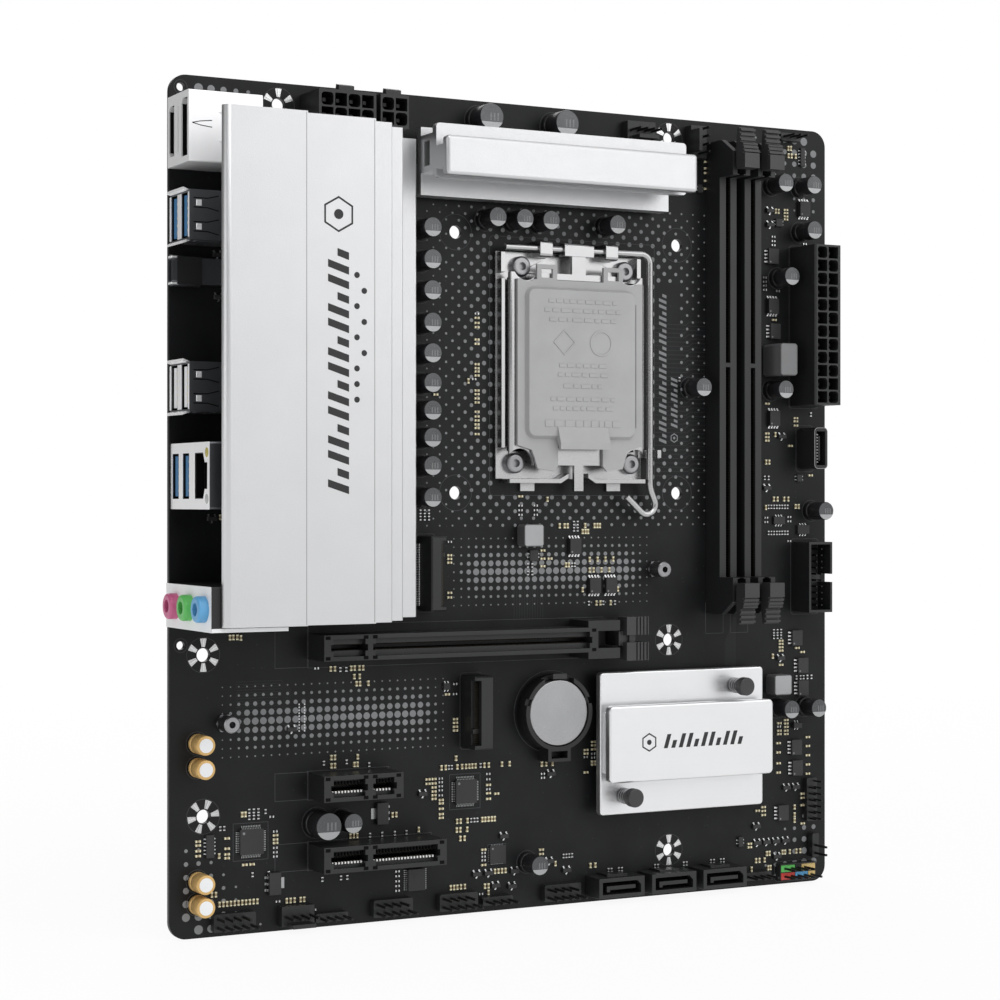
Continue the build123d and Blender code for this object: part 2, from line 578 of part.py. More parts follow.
# ---------------------------------------------------------------- expansion slots
def expansion_slot(slot_z, high_x):
    """A card slot that starts at the common left end, with its key wall."""
    half = PCIE_WIDTH / 2
    key_x = PCIE_START_X + PCIE_KEY_OFFSET
    block(PCIE_START_X, high_x, slot_z - half, slot_z + half, 0, PCIE_HEIGHT)
    rails = [(PCIE_START_X + 2.2, key_x), (key_x + 1.7, high_x - 2.2)]
    for rail_low, rail_high in rails:
        block(rail_low, rail_high, slot_z - 0.9, slot_z + 0.9, 3.2, PCIE_HEIGHT, Mode.SUBTRACT)
        groove = (rail_low + 0.8, rail_high - 0.8, slot_z - 2.5, slot_z + 2.5)
        block(*groove, 8.9, PCIE_HEIGHT, Mode.SUBTRACT)


with BuildPart() as pcie_x1_slot:
    expansion_slot(PCIE_X1_Z, 67.6)
save(pcie_x1_slot, "pcie_x1_slot")

with BuildPart() as pcie_x4_slot:
    expansion_slot(PCIE_X4_Z, 81.6)
save(pcie_x4_slot, "pcie_x4_slot")

X16_END = 133.0
with BuildPart() as pcie_x16_slot:
    expansion_slot(PCIE_X16_Z, X16_END)
    for side in (-1, 1):
        arm = sorted((PCIE_X16_Z + side * 2.6, PCIE_X16_Z + side * 5.8))
        block(X16_END - 3.5, 140.7, arm[0], arm[1], 0, PCIE_HEIGHT)
    block(X16_END - 0.5, 140.7, PCIE_X16_Z - 3, PCIE_X16_Z + 3, 0, 2.4)
save(pcie_x16_slot, "pcie_x16_slot")

with BuildPart() as pcie_latch:
    for side in (-1, 1):
        half = sorted((PCIE_X16_Z + side * 1.1, PCIE_X16_Z + side * 6.7))
        block(142.6, 150.5, half[0], half[1], 6.5, 12.0)
        for rib in range(4):
            groove_x = 145.9 + 1.2 * rib
            block(groove_x, groove_x + 0.5, half[0] - 1, half[1] + 1, 11.5, 13, Mode.SUBTRACT)
    block(141.2, 146.4, PCIE_X16_Z - 2.2, PCIE_X16_Z + 2.2, 1.2, 9.5)
    block(144.4, 146.6, PCIE_X16_Z - 2.2, PCIE_X16_Z + 2.2, 6.5, 10.4)
save(pcie_latch, "pcie_latch")


# ---------------------------------------------------------------- M.2
M2_CONNECTORS = {"lower": (92.2, 98.4, 49.8, 71.5, 9.0, -1), "upper": (77.6, 82.7, 91.2, 113.2, 9.4, 1)}
for name, (low_x, high_x, low_z, high_z, height, mouth) in M2_CONNECTORS.items():
    with BuildPart() as m2_connector:
        block(low_x, high_x, low_z, high_z, 0, height)
        chamfer(top_edges(m2_connector), length=0.4)
        mouth_x = low_x if mouth < 0 else high_x
        deep_x = mouth_x - mouth * 4.2
        slot_low, slot_high = sorted((mouth_x + mouth, deep_x))
        key_z = low_z + 5.4 if mouth < 0 else high_z - 5.4
        for slot_z in ((low_z + 1.2, key_z - 0.6), (key_z + 0.6, high_z - 1.2)):
            block(slot_low, slot_high, slot_z[0], slot_z[1], height - 2.9, height - 1.6, Mode.SUBTRACT)
        step_low, step_high = sorted((mouth_x + mouth, mouth_x - mouth * 2.0))
        block(step_low, step_high, low_z + 1.2, high_z - 1.2, height - 1.6, height + 1, Mode.SUBTRACT)
    save(m2_connector, f"m2_connector_{name}")

with BuildPart() as m2_standoffs:
    with BuildSketch(face()):
        with Locations(*M2_STANDOFFS):
            RegularPolygon(radius=2.75, side_count=6)
    extrude(amount=1.0)
    with BuildSketch(face(1.0)):
        with Locations(*M2_STANDOFFS):
            Circle(2.4)
    extrude(amount=M2_STANDOFF_HEIGHT - 1.0)
    chamfer(top_edges(m2_standoffs), length=0.3)
    with BuildSketch(face(M2_STANDOFF_HEIGHT)):
        with Locations(*M2_STANDOFFS):
            Circle(M2_THREAD_RADIUS)
    extrude(amount=-5.0, mode=Mode.SUBTRACT)
save(m2_standoffs, "m2_standoffs")


# ---------------------------------------------------------------- power connectors
POWER_HEIGHT = 13.5
POWER_CELL = 3.7
CELL_FLOOR = 4.0


def power_housing(low_x, high_x, low_z, high_z, columns, rows):
    """A wire-to-board power housing with a grid of square cells, open away from the board."""
    block(low_x, high_x, low_z, high_z, 0, POWER_HEIGHT)
    middle = ((low_x + high_x) / 2, (low_z + high_z) / 2)
    for shift, corner in ((0, 0.2), (1, 1.0)):
        with BuildSketch(face(CELL_FLOOR)) as cells:
            for column in range(columns):
                for row in range(rows):
                    if (column + row) % 2 != shift:
                        continue
                    cell_x = middle[0] + (column - (columns - 1) / 2) * POWER_PITCH
                    cell_z = middle[1] + (row - (rows - 1) / 2) * POWER_PITCH
                    with Locations((cell_x, cell_z)):
                        RectangleRounded(POWER_CELL, POWER_CELL, corner)
        extrude(cells.sketch, amount=POWER_HEIGHT, mode=Mode.SUBTRACT)


with BuildPart() as main_power_connector:
    power_housing(211.6, 221.4, 154.3, 205.5, 2, 12)
    chamfer(row_edges(main_power_connector, Axis.Z).group_by(Axis.Y)[0].sort_by(Axis.X)[0], length=0.5)
save(main_power_connector, "main_power_connector")

with BuildPart() as cpu_power_connectors:
    for low_x, high_x, columns in ((39.9, 57.8, 4), (59.2, 68.2, 2)):
        power_housing(low_x, high_x, 231.2, 240.9, columns, 2)
        centre_x = (low_x + high_x) / 2
        ramp = [(240.9, 5.0), (240.9, 12.6), (242.4, 12.6), (243.0, 10.6), (241.7, 10.2), (241.7, 5.0)]
        outline(across(centre_x - 2.4), ramp, 4.8)
save(cpu_power_connectors, "cpu_power_connectors")


# ---------------------------------------------------------------- SATA, USB and pin headers
SATA_HEIGHT = 8.5
with BuildPart() as sata_ports:
    for low_x in (134.9, 153.8, 172.6):
        high_x = low_x + 16.2
        block(low_x, high_x, 2.1, 8.2, 0, SATA_HEIGHT)
        chamfered = [(low_x + 1.3, 3.2), (high_x - 1.3, 3.2), (high_x - 1.3, 5.6), (high_x - 2.6, 7.0)]
        chamfered += [(low_x + 1.3, 7.0)]
        outline(face(2.0), chamfered, SATA_HEIGHT, Mode.SUBTRACT)
        block(low_x + 3.0, high_x - 2.9, 4.5, 5.7, 1.9, SATA_HEIGHT - 0.6)
        block(low_x + 3.0, low_x + 4.2, 3.9, 5.7, 1.9, SATA_HEIGHT - 0.6)
        block(low_x + 4.5, high_x - 4.5, 8.0, 8.8, 0, 5.6)
save(sata_ports, "sata_ports")

USB_HEADER = (212.4, 221.5, 87.8, 110.4)
USB_HEADER_HEIGHT = 9.0
with BuildPart() as usb3_header:
    low_x, high_x, low_z, high_z = USB_HEADER
    block(low_x, high_x, low_z, high_z, 0, USB_HEADER_HEIGHT)
    block(low_x + 0.8, high_x - 0.8, low_z + 0.8, high_z - 0.8, 2.0, USB_HEADER_HEIGHT, Mode.SUBTRACT)
    block(high_x - 2, high_x + 1, 97.5, 100.1, 2.0, USB_HEADER_HEIGHT + 1, Mode.SUBTRACT)
save(usb3_header, "usb3_header")

with BuildPart() as front_usb_c_header:
    block(214.4, 219.6, 133.9, 147.2, 0, 9.0)
    fillet(row_edges(front_usb_c_header, Axis.Y), radius=1.4)
    block(215.3, 218.7, 135.1, 146.0, 2.5, 9.0, Mode.SUBTRACT)
    block(216.7, 217.3, 136.6, 144.5, 2.4, 8.0)
save(front_usb_c_header, "front_usb_c_header")

# Plastic strips under the pin headers: centre X, centre Z, columns, rows, pitch
TWO_ROW_HEADERS = [(18.8, 4.1, 5, 2), (68.4, 4.1, 5, 2), (90.0, 4.1, 5, 2), (125.6, 4.1, 5, 2)]
ONE_ROW_HEADERS = [(48.8, 3.0, 4, 1), (103.2, 3.4, 4, 1), (197.2, 3.6, 4, 1)]
EDGE_HEADERS = [(219.6, 12.0, 1, 3), (209.9, 240.9, 3, 1)]
STANDARD_HEADERS = TWO_ROW_HEADERS + ONE_ROW_HEADERS + EDGE_HEADERS
DEBUG_HEADER = (218.5, 26.8, 2, 7)
FRONT_PANEL = (212.6, 4.0, 5, 2)
FAN_HEADERS = [(37.9, 4.4, 4, 1), (153.2, 238.6, 4, 1), (174.3, 236.7, 1, 4)]

with BuildPart() as pin_headers:
    for centre_x, centre_z, columns, rows in STANDARD_HEADERS:
        half_x, half_z = columns * HEADER_PITCH / 2, rows * HEADER_PITCH / 2
        block(centre_x - half_x, centre_x + half_x, centre_z - half_z, centre_z + half_z, 0, HEADER_BASE)
    centre_x, centre_z, columns, rows = DEBUG_HEADER
    half_x, half_z = columns * SMALL_PITCH / 2, rows * SMALL_PITCH / 2
    block(centre_x - half_x, centre_x + half_x, centre_z - half_z, centre_z + half_z, 0, 2.0)
    chamfer(row_edges(pin_headers, Axis.Y), length=0.35)
save(pin_headers, "pin_headers")

with BuildPart() as front_panel_header:
    centre_x, centre_z, columns, rows = FRONT_PANEL
    block(centre_x - 7.0, centre_x + 7.0, centre_z - 2.75, centre_z + 2.75, 0, HEADER_BASE)
    for rim_z in (centre_z - 2.6, centre_z + 2.6):
        block(centre_x - 6.9, centre_x + 6.9, rim_z - 0.15, rim_z + 0.15, 2, 3.0)
save(front_panel_header, "front_panel_header")

FAN_WALL_HEIGHT = 8.0
with BuildPart() as fan_headers:
    for centre_x, centre_z, columns, rows in FAN_HEADERS:
        half_x = columns * HEADER_PITCH / 2 if columns > 1 else 2.9
        half_z = rows * HEADER_PITCH / 2 if rows > 1 else 2.9
        block(centre_x - half_x, centre_x + half_x, centre_z - half_z, centre_z + half_z, 0, 3.2)
        if columns > 1:
            block(centre_x - 3.6, centre_x + 3.6, centre_z - 2.9, centre_z - 1.7, 3, FAN_WALL_HEIGHT)
        else:
            block(centre_x - 2.9, centre_x - 1.7, centre_z - 3.6, centre_z + 3.6, 3, FAN_WALL_HEIGHT)
save(fan_headers, "fan_headers")


def pin_grid(centre_x, centre_z, columns, rows, pitch, width, low_n, high_n, missing=()):
    """Square pins on a grid, leaving out the ones that the header doesn't have."""
    with BuildSketch(face(low_n)) as section:
        for column in range(columns):
            for row in range(rows):
                if (column, row) in missing:
                    continue
                pin_x = centre_x + (column - (columns - 1) / 2) * pitch
                pin_z = centre_z + (row - (rows - 1) / 2) * pitch
                with Locations((pin_x, pin_z)):
                    Rectangle(width, width)
    extrude(section.sketch, amount=high_n - low_n)


with BuildPart() as connector_pins:
    for centre_x, centre_z, columns, rows in STANDARD_HEADERS:
        gap = ((columns - 1, rows - 1),) if rows > 1 else ()
        pin_grid(centre_x, centre_z, columns, rows, HEADER_PITCH, 0.64, HEADER_BASE, PIN_TOP, gap)
    centre_x, centre_z, columns, rows = FRONT_PANEL
    pin_grid(centre_x, centre_z, columns, rows, HEADER_PITCH, 0.64, HEADER_BASE, PIN_TOP, ((4, 1),))
    centre_x, centre_z, columns, rows = DEBUG_HEADER
    pin_grid(centre_x, centre_z, columns, rows, SMALL_PITCH, 0.5, 2.0, 6.0, ((0, 6),))
    for centre_x, centre_z, columns, rows in FAN_HEADERS:
        pin_grid(centre_x, centre_z, columns, rows, HEADER_PITCH, 0.64, 3.2, 9.5)
    usb_x = (USB_HEADER[0] + USB_HEADER[1]) / 2
    usb_z = (USB_HEADER[2] + USB_HEADER[3]) / 2
    pin_grid(usb_x, usb_z, 2, 10, SMALL_PITCH, 0.5, 2.0, 8.2, ((0, 9),))
    pin_grid(216.5, 179.9, 2, 12, POWER_PITCH, 1.1, CELL_FLOOR, 11.0)
    pin_grid(48.85, 236.05, 4, 2, POWER_PITCH, 1.1, CELL_FLOOR, 11.0)
    pin_grid(63.7, 236.05, 2, 2, POWER_PITCH, 1.1, CELL_FLOOR, 11.0)
save(connector_pins, "connector_pins")


# ---------------------------------------------------------------- capacitors, coils and chips
def capacitor_group(places, radius, height):
    """Round cans, each on a narrower seal."""
    with BuildSketch(face(0.3)) as cans:
        with Locations(*places):
            Circle(radius)
    extrude(cans.sketch, amount=height - 0.3)
    rims = [edge for edge in edges(Select.LAST) if edge.center().Y < -BOARD_THICKNESS - height + 0.01]
    fillet(rims, radius=0.45)
    with BuildSketch(face()) as seals:
        with Locations(*places):
            Circle(radius - 0.5)
    extrude(seals.sketch, amount=0.3)


with BuildPart() as capacitors:
    capacitor_group(SMALL_CAPACITORS, 2.9, 8.6)
    capacitor_group(LARGE_CAPACITORS, 3.95, 9.2)
save(capacitors, "capacitors")

with BuildPart() as audio_capacitors:
    capacitor_group(AUDIO_CAPACITORS, 2.8, 7.45)
save(audio_capacitors, "audio_capacitors")

CHOKE_HEIGHT = 5.2
with BuildPart() as inductors:
    # the power chokes under the two power heatsinks
    with BuildSketch(face()):
        with Locations(*[(44.0, z) for z in REAR_PHASES]):
            Rectangle(10.0, 10.0)
        with Locations(*[(x, 228.3) for x in UPPER_PHASES[:5] if abs(x - UPPER_SINK_SCREWS[0][0]) > 7]):
            Rectangle(9.6, 7.6)
    extrude(amount=CHOKE_HEIGHT)
    # the coils that stand in the open
    for centre_x, centre_z, width, depth, height in (
        (114.4, 113.2, 6.7, 6.7, 4.6),
        (205.2, 64.6, 6.6, 6.4, 5.0),
        (204.0, 168.7, 6.4, 10.2, 9.9),
    ):
        half_x, half_z = width / 2, depth / 2
        block(centre_x - half_x, centre_x + half_x, centre_z - half_z, centre_z + half_z, 0, height)
    chamfer(row_edges(inductors, Axis.Y), length=0.7)
save(inductors, "inductors")

# Flat packages with leads on two or four sides: centre X, centre Z, width, depth, height
CHIP_PLACES = [(24.5, 26.3, 7.2, 7.2, 1.2), (93.2, 36.6, 7.0, 7.0, 1.2), (104.0, 17.0, 5.4, 5.4, 0.9)]
CHIP_PLACES += [(31.5, 13.8, 3.6, 6.4, 1.6), (65.5, 31.8, 3.6, 6.4, 1.6), (76.6, 11.5, 5.6, 6.4, 1.4)]
WIDE_CHIPS = [(130.7, 109.7), (137.7, 97.5), (143.5, 97.5), (216.3, 218.2), (204.0, 202.3)]
WIDE_CHIPS += [(204.0, 186.3), (204.7, 178.2), (204.5, 150.2), (213.2, 79.3), (215.5, 70.3)]
WIDE_CHIPS += [(215.6, 63.0), (213.0, 43.9), (213.3, 37.2), (207.8, 23.0)]
with BuildPart() as chips:
    for centre_x, centre_z, width, depth, height in CHIP_PLACES:
        half_x, half_z = width / 2, depth / 2
        block(centre_x - half_x, centre_x + half_x, centre_z - half_z, centre_z + half_z, 0, height)
    with BuildSketch(face()):
        with Locations(*WIDE_CHIPS):
            Rectangle(3.9, 4.9)
    extrude(amount=1.5)
save(chips, "chips")


# ---------------------------------------------------------------- rear ports
def port_shell(low_x, depth, low_z, high_z, high_n):
    """A metal or plastic port body standing on the board's rear edge."""
    block(low_x, low_x + depth, low_z, high_z, 0, high_n)


def port_cavity(low_x, depth, low_z, high_z, low_n, high_n):
    """An opening in a port's face."""
    block(low_x - 1, low_x + depth, low_z, high_z, low_n, high_n, Mode.SUBTRACT)


USB_PORT_NS = (1.4, 9.7)
USB_PORT_HEIGHT = 5.1
USB_TONGUE_LIFT = 2.7
USB_STACKS = {"usb_stack_upper": 202.55, "usb_stack_lower": 155.2}
LAN_STACK_Z = 130.5
USB_HALF = 6.25

for name, centre_z in USB_STACKS.items():
    with BuildPart() as usb_stack:
        port_shell(0.2, 17.3, centre_z - 6.9, centre_z + 6.9, 15.8)
        for low_n in USB_PORT_NS:
            high_n = low_n + USB_PORT_HEIGHT
            port_cavity(0.2, 11.0, centre_z - USB_HALF, centre_z + USB_HALF, low_n, high_n)
        # spring lips folded out at the two sides of the mouth
        for side in (-1, 1):
            lip = [(-0.7, side * 7.7), (-0.7, side * 7.1), (0.9, side * 6.5), (1.6, side * 6.9)]
            points = [(x, centre_z + z) for x, z in lip]
            outline(face(0.6), points, 12.8)
    save(usb_stack, name)

with BuildPart() as usb_lan_stack:
    port_shell(0.6, 20.4, 121.3, 139.7, 30.5)
    fillet(row_edges(usb_lan_stack, Axis.X), radius=0.6)
    for low_n in USB_PORT_NS:
        high_n = low_n + USB_PORT_HEIGHT
        port_cavity(0.6, 11.0, LAN_STACK_Z - USB_HALF, LAN_STACK_Z + USB_HALF, low_n, high_n)
    jack = [(-6.1, 19.2), (6.1, 19.2), (6.1, 25.8), (3.6, 27.0)]
    jack += [(3.6, 28.9), (-3.6, 28.9), (-3.6, 27.0), (-6.1, 25.8)]
    outline(across(0), [(LAN_STACK_Z + z, n) for z, n in jack], 14.0, Mode.SUBTRACT)
    for lamp_z in (124.2, 136.8):
        bar(lamp_z, 28.5, 1.5, 0, 2.0, Mode.SUBTRACT)
save(usb_lan_stack, "usb_lan_stack")

with BuildPart() as port_lamps:
    for lamp_z in (124.2, 136.8):
        bar(lamp_z, 28.5, 1.45, 0.5, 1.9)
save(port_lamps, "port_lamps")

with BuildPart() as display_connector:
    port_shell(-0.4, 21.8, 217.0, 236.8, 17.0)
    fillet(row_edges(display_connector, Axis.X).group_by(Axis.Y)[0], radius=0.5)
    hdmi = [(219.8, 5.3), (234.0, 5.3), (234.0, 2.4), (232.6, 0.9), (221.2, 0.9), (219.8, 2.4)]
    outline(across(-1), hdmi, 11.0, Mode.SUBTRACT)
    display = [(218.8, 11.0), (233.4, 11.0), (234.9, 12.4), (234.9, 15.8), (218.8, 15.8)]
    outline(across(-1), display, 11.0, Mode.SUBTRACT)
    port_cavity(-0.4, 0.9, 220.5, 233.3, 8.1, 8.7)
save(display_connector, "display_connector")

with BuildPart() as usb_c_port:
    with BuildSketch(across(-0.3)):
        with Locations((188.3, 1.65)):
            SlotOverall(8.9, 3.2)
            SlotOverall(8.3, 2.5, mode=Mode.SUBTRACT)
    extrude(amount=8.6)
    with BuildSketch(across(7.3)):
        with Locations((188.3, 1.65)):
            SlotOverall(8.6, 2.9)
    extrude(amount=1.0)
    block(7.0, 21.5, 184.6, 192.0, 0, 2.6)
    block(-0.3, 8.3, 187.0, 189.6, 0, 0.2)
save(usb_c_port, "usb_c_port")

TONGUE_NS = [low_n + USB_TONGUE_LIFT for low_n in USB_PORT_NS]
with BuildPart() as port_tongues:
    for start_x, centre_z in ((1.2, 202.55), (1.2, 155.2), (1.6, LAN_STACK_Z)):
        end_x = 11.2 if start_x < 1.5 else 11.6
        for low_n in TONGUE_NS:
            block(start_x, end_x, centre_z - 5.6, centre_z + 5.6, low_n, low_n + 1.9)
    block(0.4, 10.0, 221.7, 232.1, 2.5, 3.7)
    block(0.4, 10.0, 220.6, 233.0, 13.0, 14.2)
    block(1.0, 6.9, 185.0, 191.6, 1.3, 2.0)
save(port_tongues, "port_tongues")

AUDIO_Z = 94.45
AUDIO_FACE_X = -0.8
AUDIO_BACK_X = 21.6
JACK_NS = {"pink": 7.8, "green": 19.0, "blue": 30.2}
JACK_RADIUS = 3.6
JACK_BORE_RADIUS = 1.8
JACK_TIP_X = -3.6
JACK_BORE_DEPTH = 12.0
with BuildPart() as audio_block:
    port_shell(AUDIO_FACE_X, AUDIO_BACK_X, 88.3, 100.6, 35.5)
    fillet(row_edges(audio_block, Axis.X).group_by(Axis.Y)[0], radius=0.4)
    for jack_n in JACK_NS.values():
        bar(AUDIO_Z, jack_n, JACK_RADIUS + 0.05, AUDIO_FACE_X - 1, AUDIO_BACK_X + 1, Mode.SUBTRACT)
save(audio_block, "audio_block")

for colour, jack_n in JACK_NS.items():
    with BuildPart() as audio_jack:
        bar(AUDIO_Z, jack_n, JACK_RADIUS, JACK_TIP_X, AUDIO_BACK_X)
        rim = audio_jack.faces().group_by(Axis.X)[0].edges()
        fillet(rim, radius=0.7)
        bore_end = JACK_TIP_X + JACK_BORE_DEPTH
        bar(AUDIO_Z, jack_n, JACK_BORE_RADIUS, JACK_TIP_X - 1, bore_end, Mode.SUBTRACT)
    save(audio_jack, f"audio_jack_{colour}")
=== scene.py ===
"""The looks of a micro-ATX motherboard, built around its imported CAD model.

Pieces are laid out in board millimetres, as the CAD is: X from the rear port edge, Z up from the
bottom edge and N outwards from the component side. place() turns those into the frame's metres.
"""

import json
import math
import random

import bmesh
import bpy
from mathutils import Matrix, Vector


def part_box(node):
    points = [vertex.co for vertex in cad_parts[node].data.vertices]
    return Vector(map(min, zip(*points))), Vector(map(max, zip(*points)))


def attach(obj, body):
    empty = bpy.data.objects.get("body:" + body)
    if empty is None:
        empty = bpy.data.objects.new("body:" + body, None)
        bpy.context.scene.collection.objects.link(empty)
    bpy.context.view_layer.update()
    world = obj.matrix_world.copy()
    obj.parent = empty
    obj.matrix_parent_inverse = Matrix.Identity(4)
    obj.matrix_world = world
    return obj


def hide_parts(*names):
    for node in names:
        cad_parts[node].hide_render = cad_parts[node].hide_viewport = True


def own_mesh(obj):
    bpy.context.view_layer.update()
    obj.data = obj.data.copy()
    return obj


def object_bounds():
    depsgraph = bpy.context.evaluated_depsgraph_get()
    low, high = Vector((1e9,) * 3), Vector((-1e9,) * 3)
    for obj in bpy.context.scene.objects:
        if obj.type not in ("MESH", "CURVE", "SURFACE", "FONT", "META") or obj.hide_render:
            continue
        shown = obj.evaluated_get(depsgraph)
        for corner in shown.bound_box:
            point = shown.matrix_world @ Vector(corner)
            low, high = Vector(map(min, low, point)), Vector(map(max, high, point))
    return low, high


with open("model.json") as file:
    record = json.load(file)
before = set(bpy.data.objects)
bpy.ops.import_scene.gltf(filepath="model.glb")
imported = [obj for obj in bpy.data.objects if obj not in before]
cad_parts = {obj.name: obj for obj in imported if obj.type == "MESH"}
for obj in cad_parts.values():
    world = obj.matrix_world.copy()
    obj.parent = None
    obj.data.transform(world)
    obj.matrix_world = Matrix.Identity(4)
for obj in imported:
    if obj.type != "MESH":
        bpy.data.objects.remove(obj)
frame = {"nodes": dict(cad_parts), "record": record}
cad_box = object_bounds()
draw = random.Random(11)

MM = 0.001
BOARD_LOW, BOARD_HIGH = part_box("circuit_board")
BOARD_THICKNESS = (BOARD_HIGH.y - BOARD_LOW.y) / MM
BOARD_WIDTH = (BOARD_HIGH.x - BOARD_LOW.x) / MM
BOARD_HEIGHT = (BOARD_HIGH.z - BOARD_LOW.z) / MM
REAR = -BOARD_THICKNESS


def place(x, z, n):
    """A point in board millimetres, in the frame's metres."""
    return (BOARD_LOW.x + x * MM, BOARD_LOW.y - n * MM, BOARD_LOW.z + z * MM)


def extent(node):
    """A CAD node's box in board millimetres: low X, high X, low Z, high Z, low N, high N."""
    low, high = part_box(node)
    sides = ((low.x - BOARD_LOW.x), (high.x - BOARD_LOW.x), (low.z - BOARD_LOW.z), (high.z - BOARD_LOW.z))
    return [value / MM for value in (*sides, BOARD_LOW.y - high.y, BOARD_LOW.y - low.y)]


def middle_of(node):
    """The middle of a CAD node's box, as board X and Z."""
    low_x, high_x, low_z, high_z = extent(node)[:4]
    return (low_x + high_x) / 2, (low_z + high_z) / 2


def mount_place(name):
    """Where a mount of the record is, as board X and Z."""
    found = next(mount for mount in frame["record"]["mounts"] if mount["name"] == name)
    x, _, z = found["pos_m"]
    return (x - BOARD_LOW.x) / MM, (z - BOARD_LOW.z) / MM, found["dims"]


# ---------------------------------------------------------------- materials
def nodes_of(name):
    """A new material, with its node tree and its Principled shader."""
    made = bpy.data.materials.new(name)
    made.use_nodes = True
    tree = made.node_tree
    return made, tree, tree.nodes["Principled BSDF"]


def noise(tree, scale, detail, stretch=(1, 1, 1)):
    """A noise texture laid over the object's own metres."""
    where = tree.nodes.new("ShaderNodeTexCoord")
    fit = tree.nodes.new("ShaderNodeMapping")
    fit.inputs["Scale"].default_value = stretch
    texture = tree.nodes.new("ShaderNodeTexNoise")
    texture.inputs["Scale"].default_value = scale
    texture.inputs["Detail"].default_value = detail
    tree.links.new(where.outputs["Object"], fit.inputs["Vector"])
    tree.links.new(fit.outputs["Vector"], texture.inputs["Vector"])
    return texture


def spread(tree, source, low, high):
    """Maps a 0 to 1 value onto a range."""
    scale = tree.nodes.new("ShaderNodeMapRange")
    scale.inputs["From Min"].default_value = 0.3
    scale.inputs["From Max"].default_value = 0.7
    scale.inputs["To Min"].default_value = low
    scale.inputs["To Max"].default_value = high
    tree.links.new(source, scale.inputs["Value"])
    return scale.outputs["Result"]


DRIFT_SPOTS = 90  # of colour, per metre


def finish(
    name, colour, rough, metal=0.0, shine=0.5, tone=0.12, grain=1500, bump=0.02, stretch=(1, 1, 1), wear=0.08
):
    """A surface with its own colour drift, uneven gloss and fine relief.

    tone is how far the colour drifts, grain is the relief's spots per metre, bump its height in
    millimetres, stretch pulls it into brush marks, and wear is how far the roughness varies.
    """
    made, tree, shader = nodes_of(name)
    drift = noise(tree, DRIFT_SPOTS, 3.0)
    mix = tree.nodes.new("ShaderNodeMix")
    mix.data_type = "RGBA"
    mix.inputs[6].default_value = (*[channel * (1 - tone) for channel in colour], 1)
    mix.inputs[7].default_value = (*[min(1.0, channel * (1 + tone)) for channel in colour], 1)
    tree.links.new(spread(tree, drift.outputs["Fac"], 0.0, 1.0), mix.inputs[0])
    tree.links.new(mix.outputs[2], shader.inputs["Base Color"])
    fine = noise(tree, grain, 4.0, stretch)
    low, high = max(0.03, rough - wear), min(1.0, rough + wear)
    tree.links.new(spread(tree, fine.outputs["Fac"], low, high), shader.inputs["Roughness"])
    relief = tree.nodes.new("ShaderNodeBump")
    relief.inputs["Strength"].default_value = 1.0
    relief.inputs["Distance"].default_value = bump * MM
    tree.links.new(fine.outputs["Fac"], relief.inputs["Height"])
    tree.links.new(relief.outputs["Normal"], shader.inputs["Normal"])
    shader.inputs["Metallic"].default_value = metal
    shader.inputs["Specular IOR Level"].default_value = shine
    return made


MASK_BLACK = (0.0066, 0.007, 0.0077)
BLACK = (0.012, 0.012, 0.013)
SILVER = (0.6, 0.604, 0.613)
NICKEL = (0.62, 0.615, 0.605)

solder_mask = finish("solder_mask", MASK_BLACK, 0.42, shine=0.22, tone=0.3, grain=5200, bump=0.008)
silkscreen = finish("silkscreen_grey", (0.2, 0.205, 0.21), 0.6, shine=0.3, tone=0.1, grain=3000)
silkscreen_dim = finish("silkscreen_dim", (0.055, 0.057, 0.06), 0.6, shine=0.3, tone=0.15, grain=3000)
silkscreen_white = finish("silkscreen_white", (0.62, 0.63, 0.64), 0.6, shine=0.3, tone=0.06, grain=3000)
tin = finish("tinned_copper", (0.55, 0.55, 0.55), 0.26, metal=1.0, tone=0.1, grain=2600, bump=0.012)
solder = finish("solder", (0.66, 0.67, 0.68), 0.3, metal=1.0, tone=0.15, grain=1600, bump=0.03)
gold = finish("gold_plate", (0.83, 0.62, 0.28), 0.28, metal=1.0, tone=0.08, grain=1800)
blasted = finish("blasted_aluminium", SILVER, 0.4, metal=0.94, tone=0.012, grain=2900, bump=0.03, wear=0.07)
brushed = finish(
    "brushed_aluminium", (0.78, 0.785, 0.795), 0.36, metal=0.94, tone=0.01, grain=1500, bump=0.012,
    stretch=(0.03, 1, 1)
)
nickel = finish("nickel_plate", NICKEL, 0.28, metal=1.0, tone=0.05, grain=6000, bump=0.0008, wear=0.03)
bright_steel = finish(
    "bright_steel", (0.44, 0.44, 0.445), 0.26, metal=1.0, tone=0.03, grain=6000, bump=0.0005, wear=0.02
)
dark_nickel = finish(
    "dark_nickel", (0.14, 0.145, 0.155), 0.36, metal=0.9, tone=0.04, grain=3000, bump=0.002, wear=0.03
)
white_metal = finish(
    "white_metal", (0.95, 0.95, 0.96), 0.4, metal=0.5, tone=0.02, grain=3000, bump=0.002, wear=0.03
)
spring_steel = finish("spring_steel", (0.3, 0.3, 0.31), 0.35, metal=1.0, grain=6000, bump=0.0008, wear=0.03)
dark_steel = finish("dark_coated_steel", (0.03, 0.03, 0.032), 0.45, metal=0.3, grain=1800, bump=0.03)
black_plastic = finish("black_plastic", BLACK, 0.45, shine=0.42, grain=3200, bump=0.02)
slot_plastic = finish("slot_plastic", (0.013, 0.0135, 0.0145), 0.4, shine=0.45, grain=2600, bump=0.015)
latch_plastic = finish("latch_plastic", (0.028, 0.028, 0.03), 0.42, shine=0.5, grain=2600, bump=0.02)
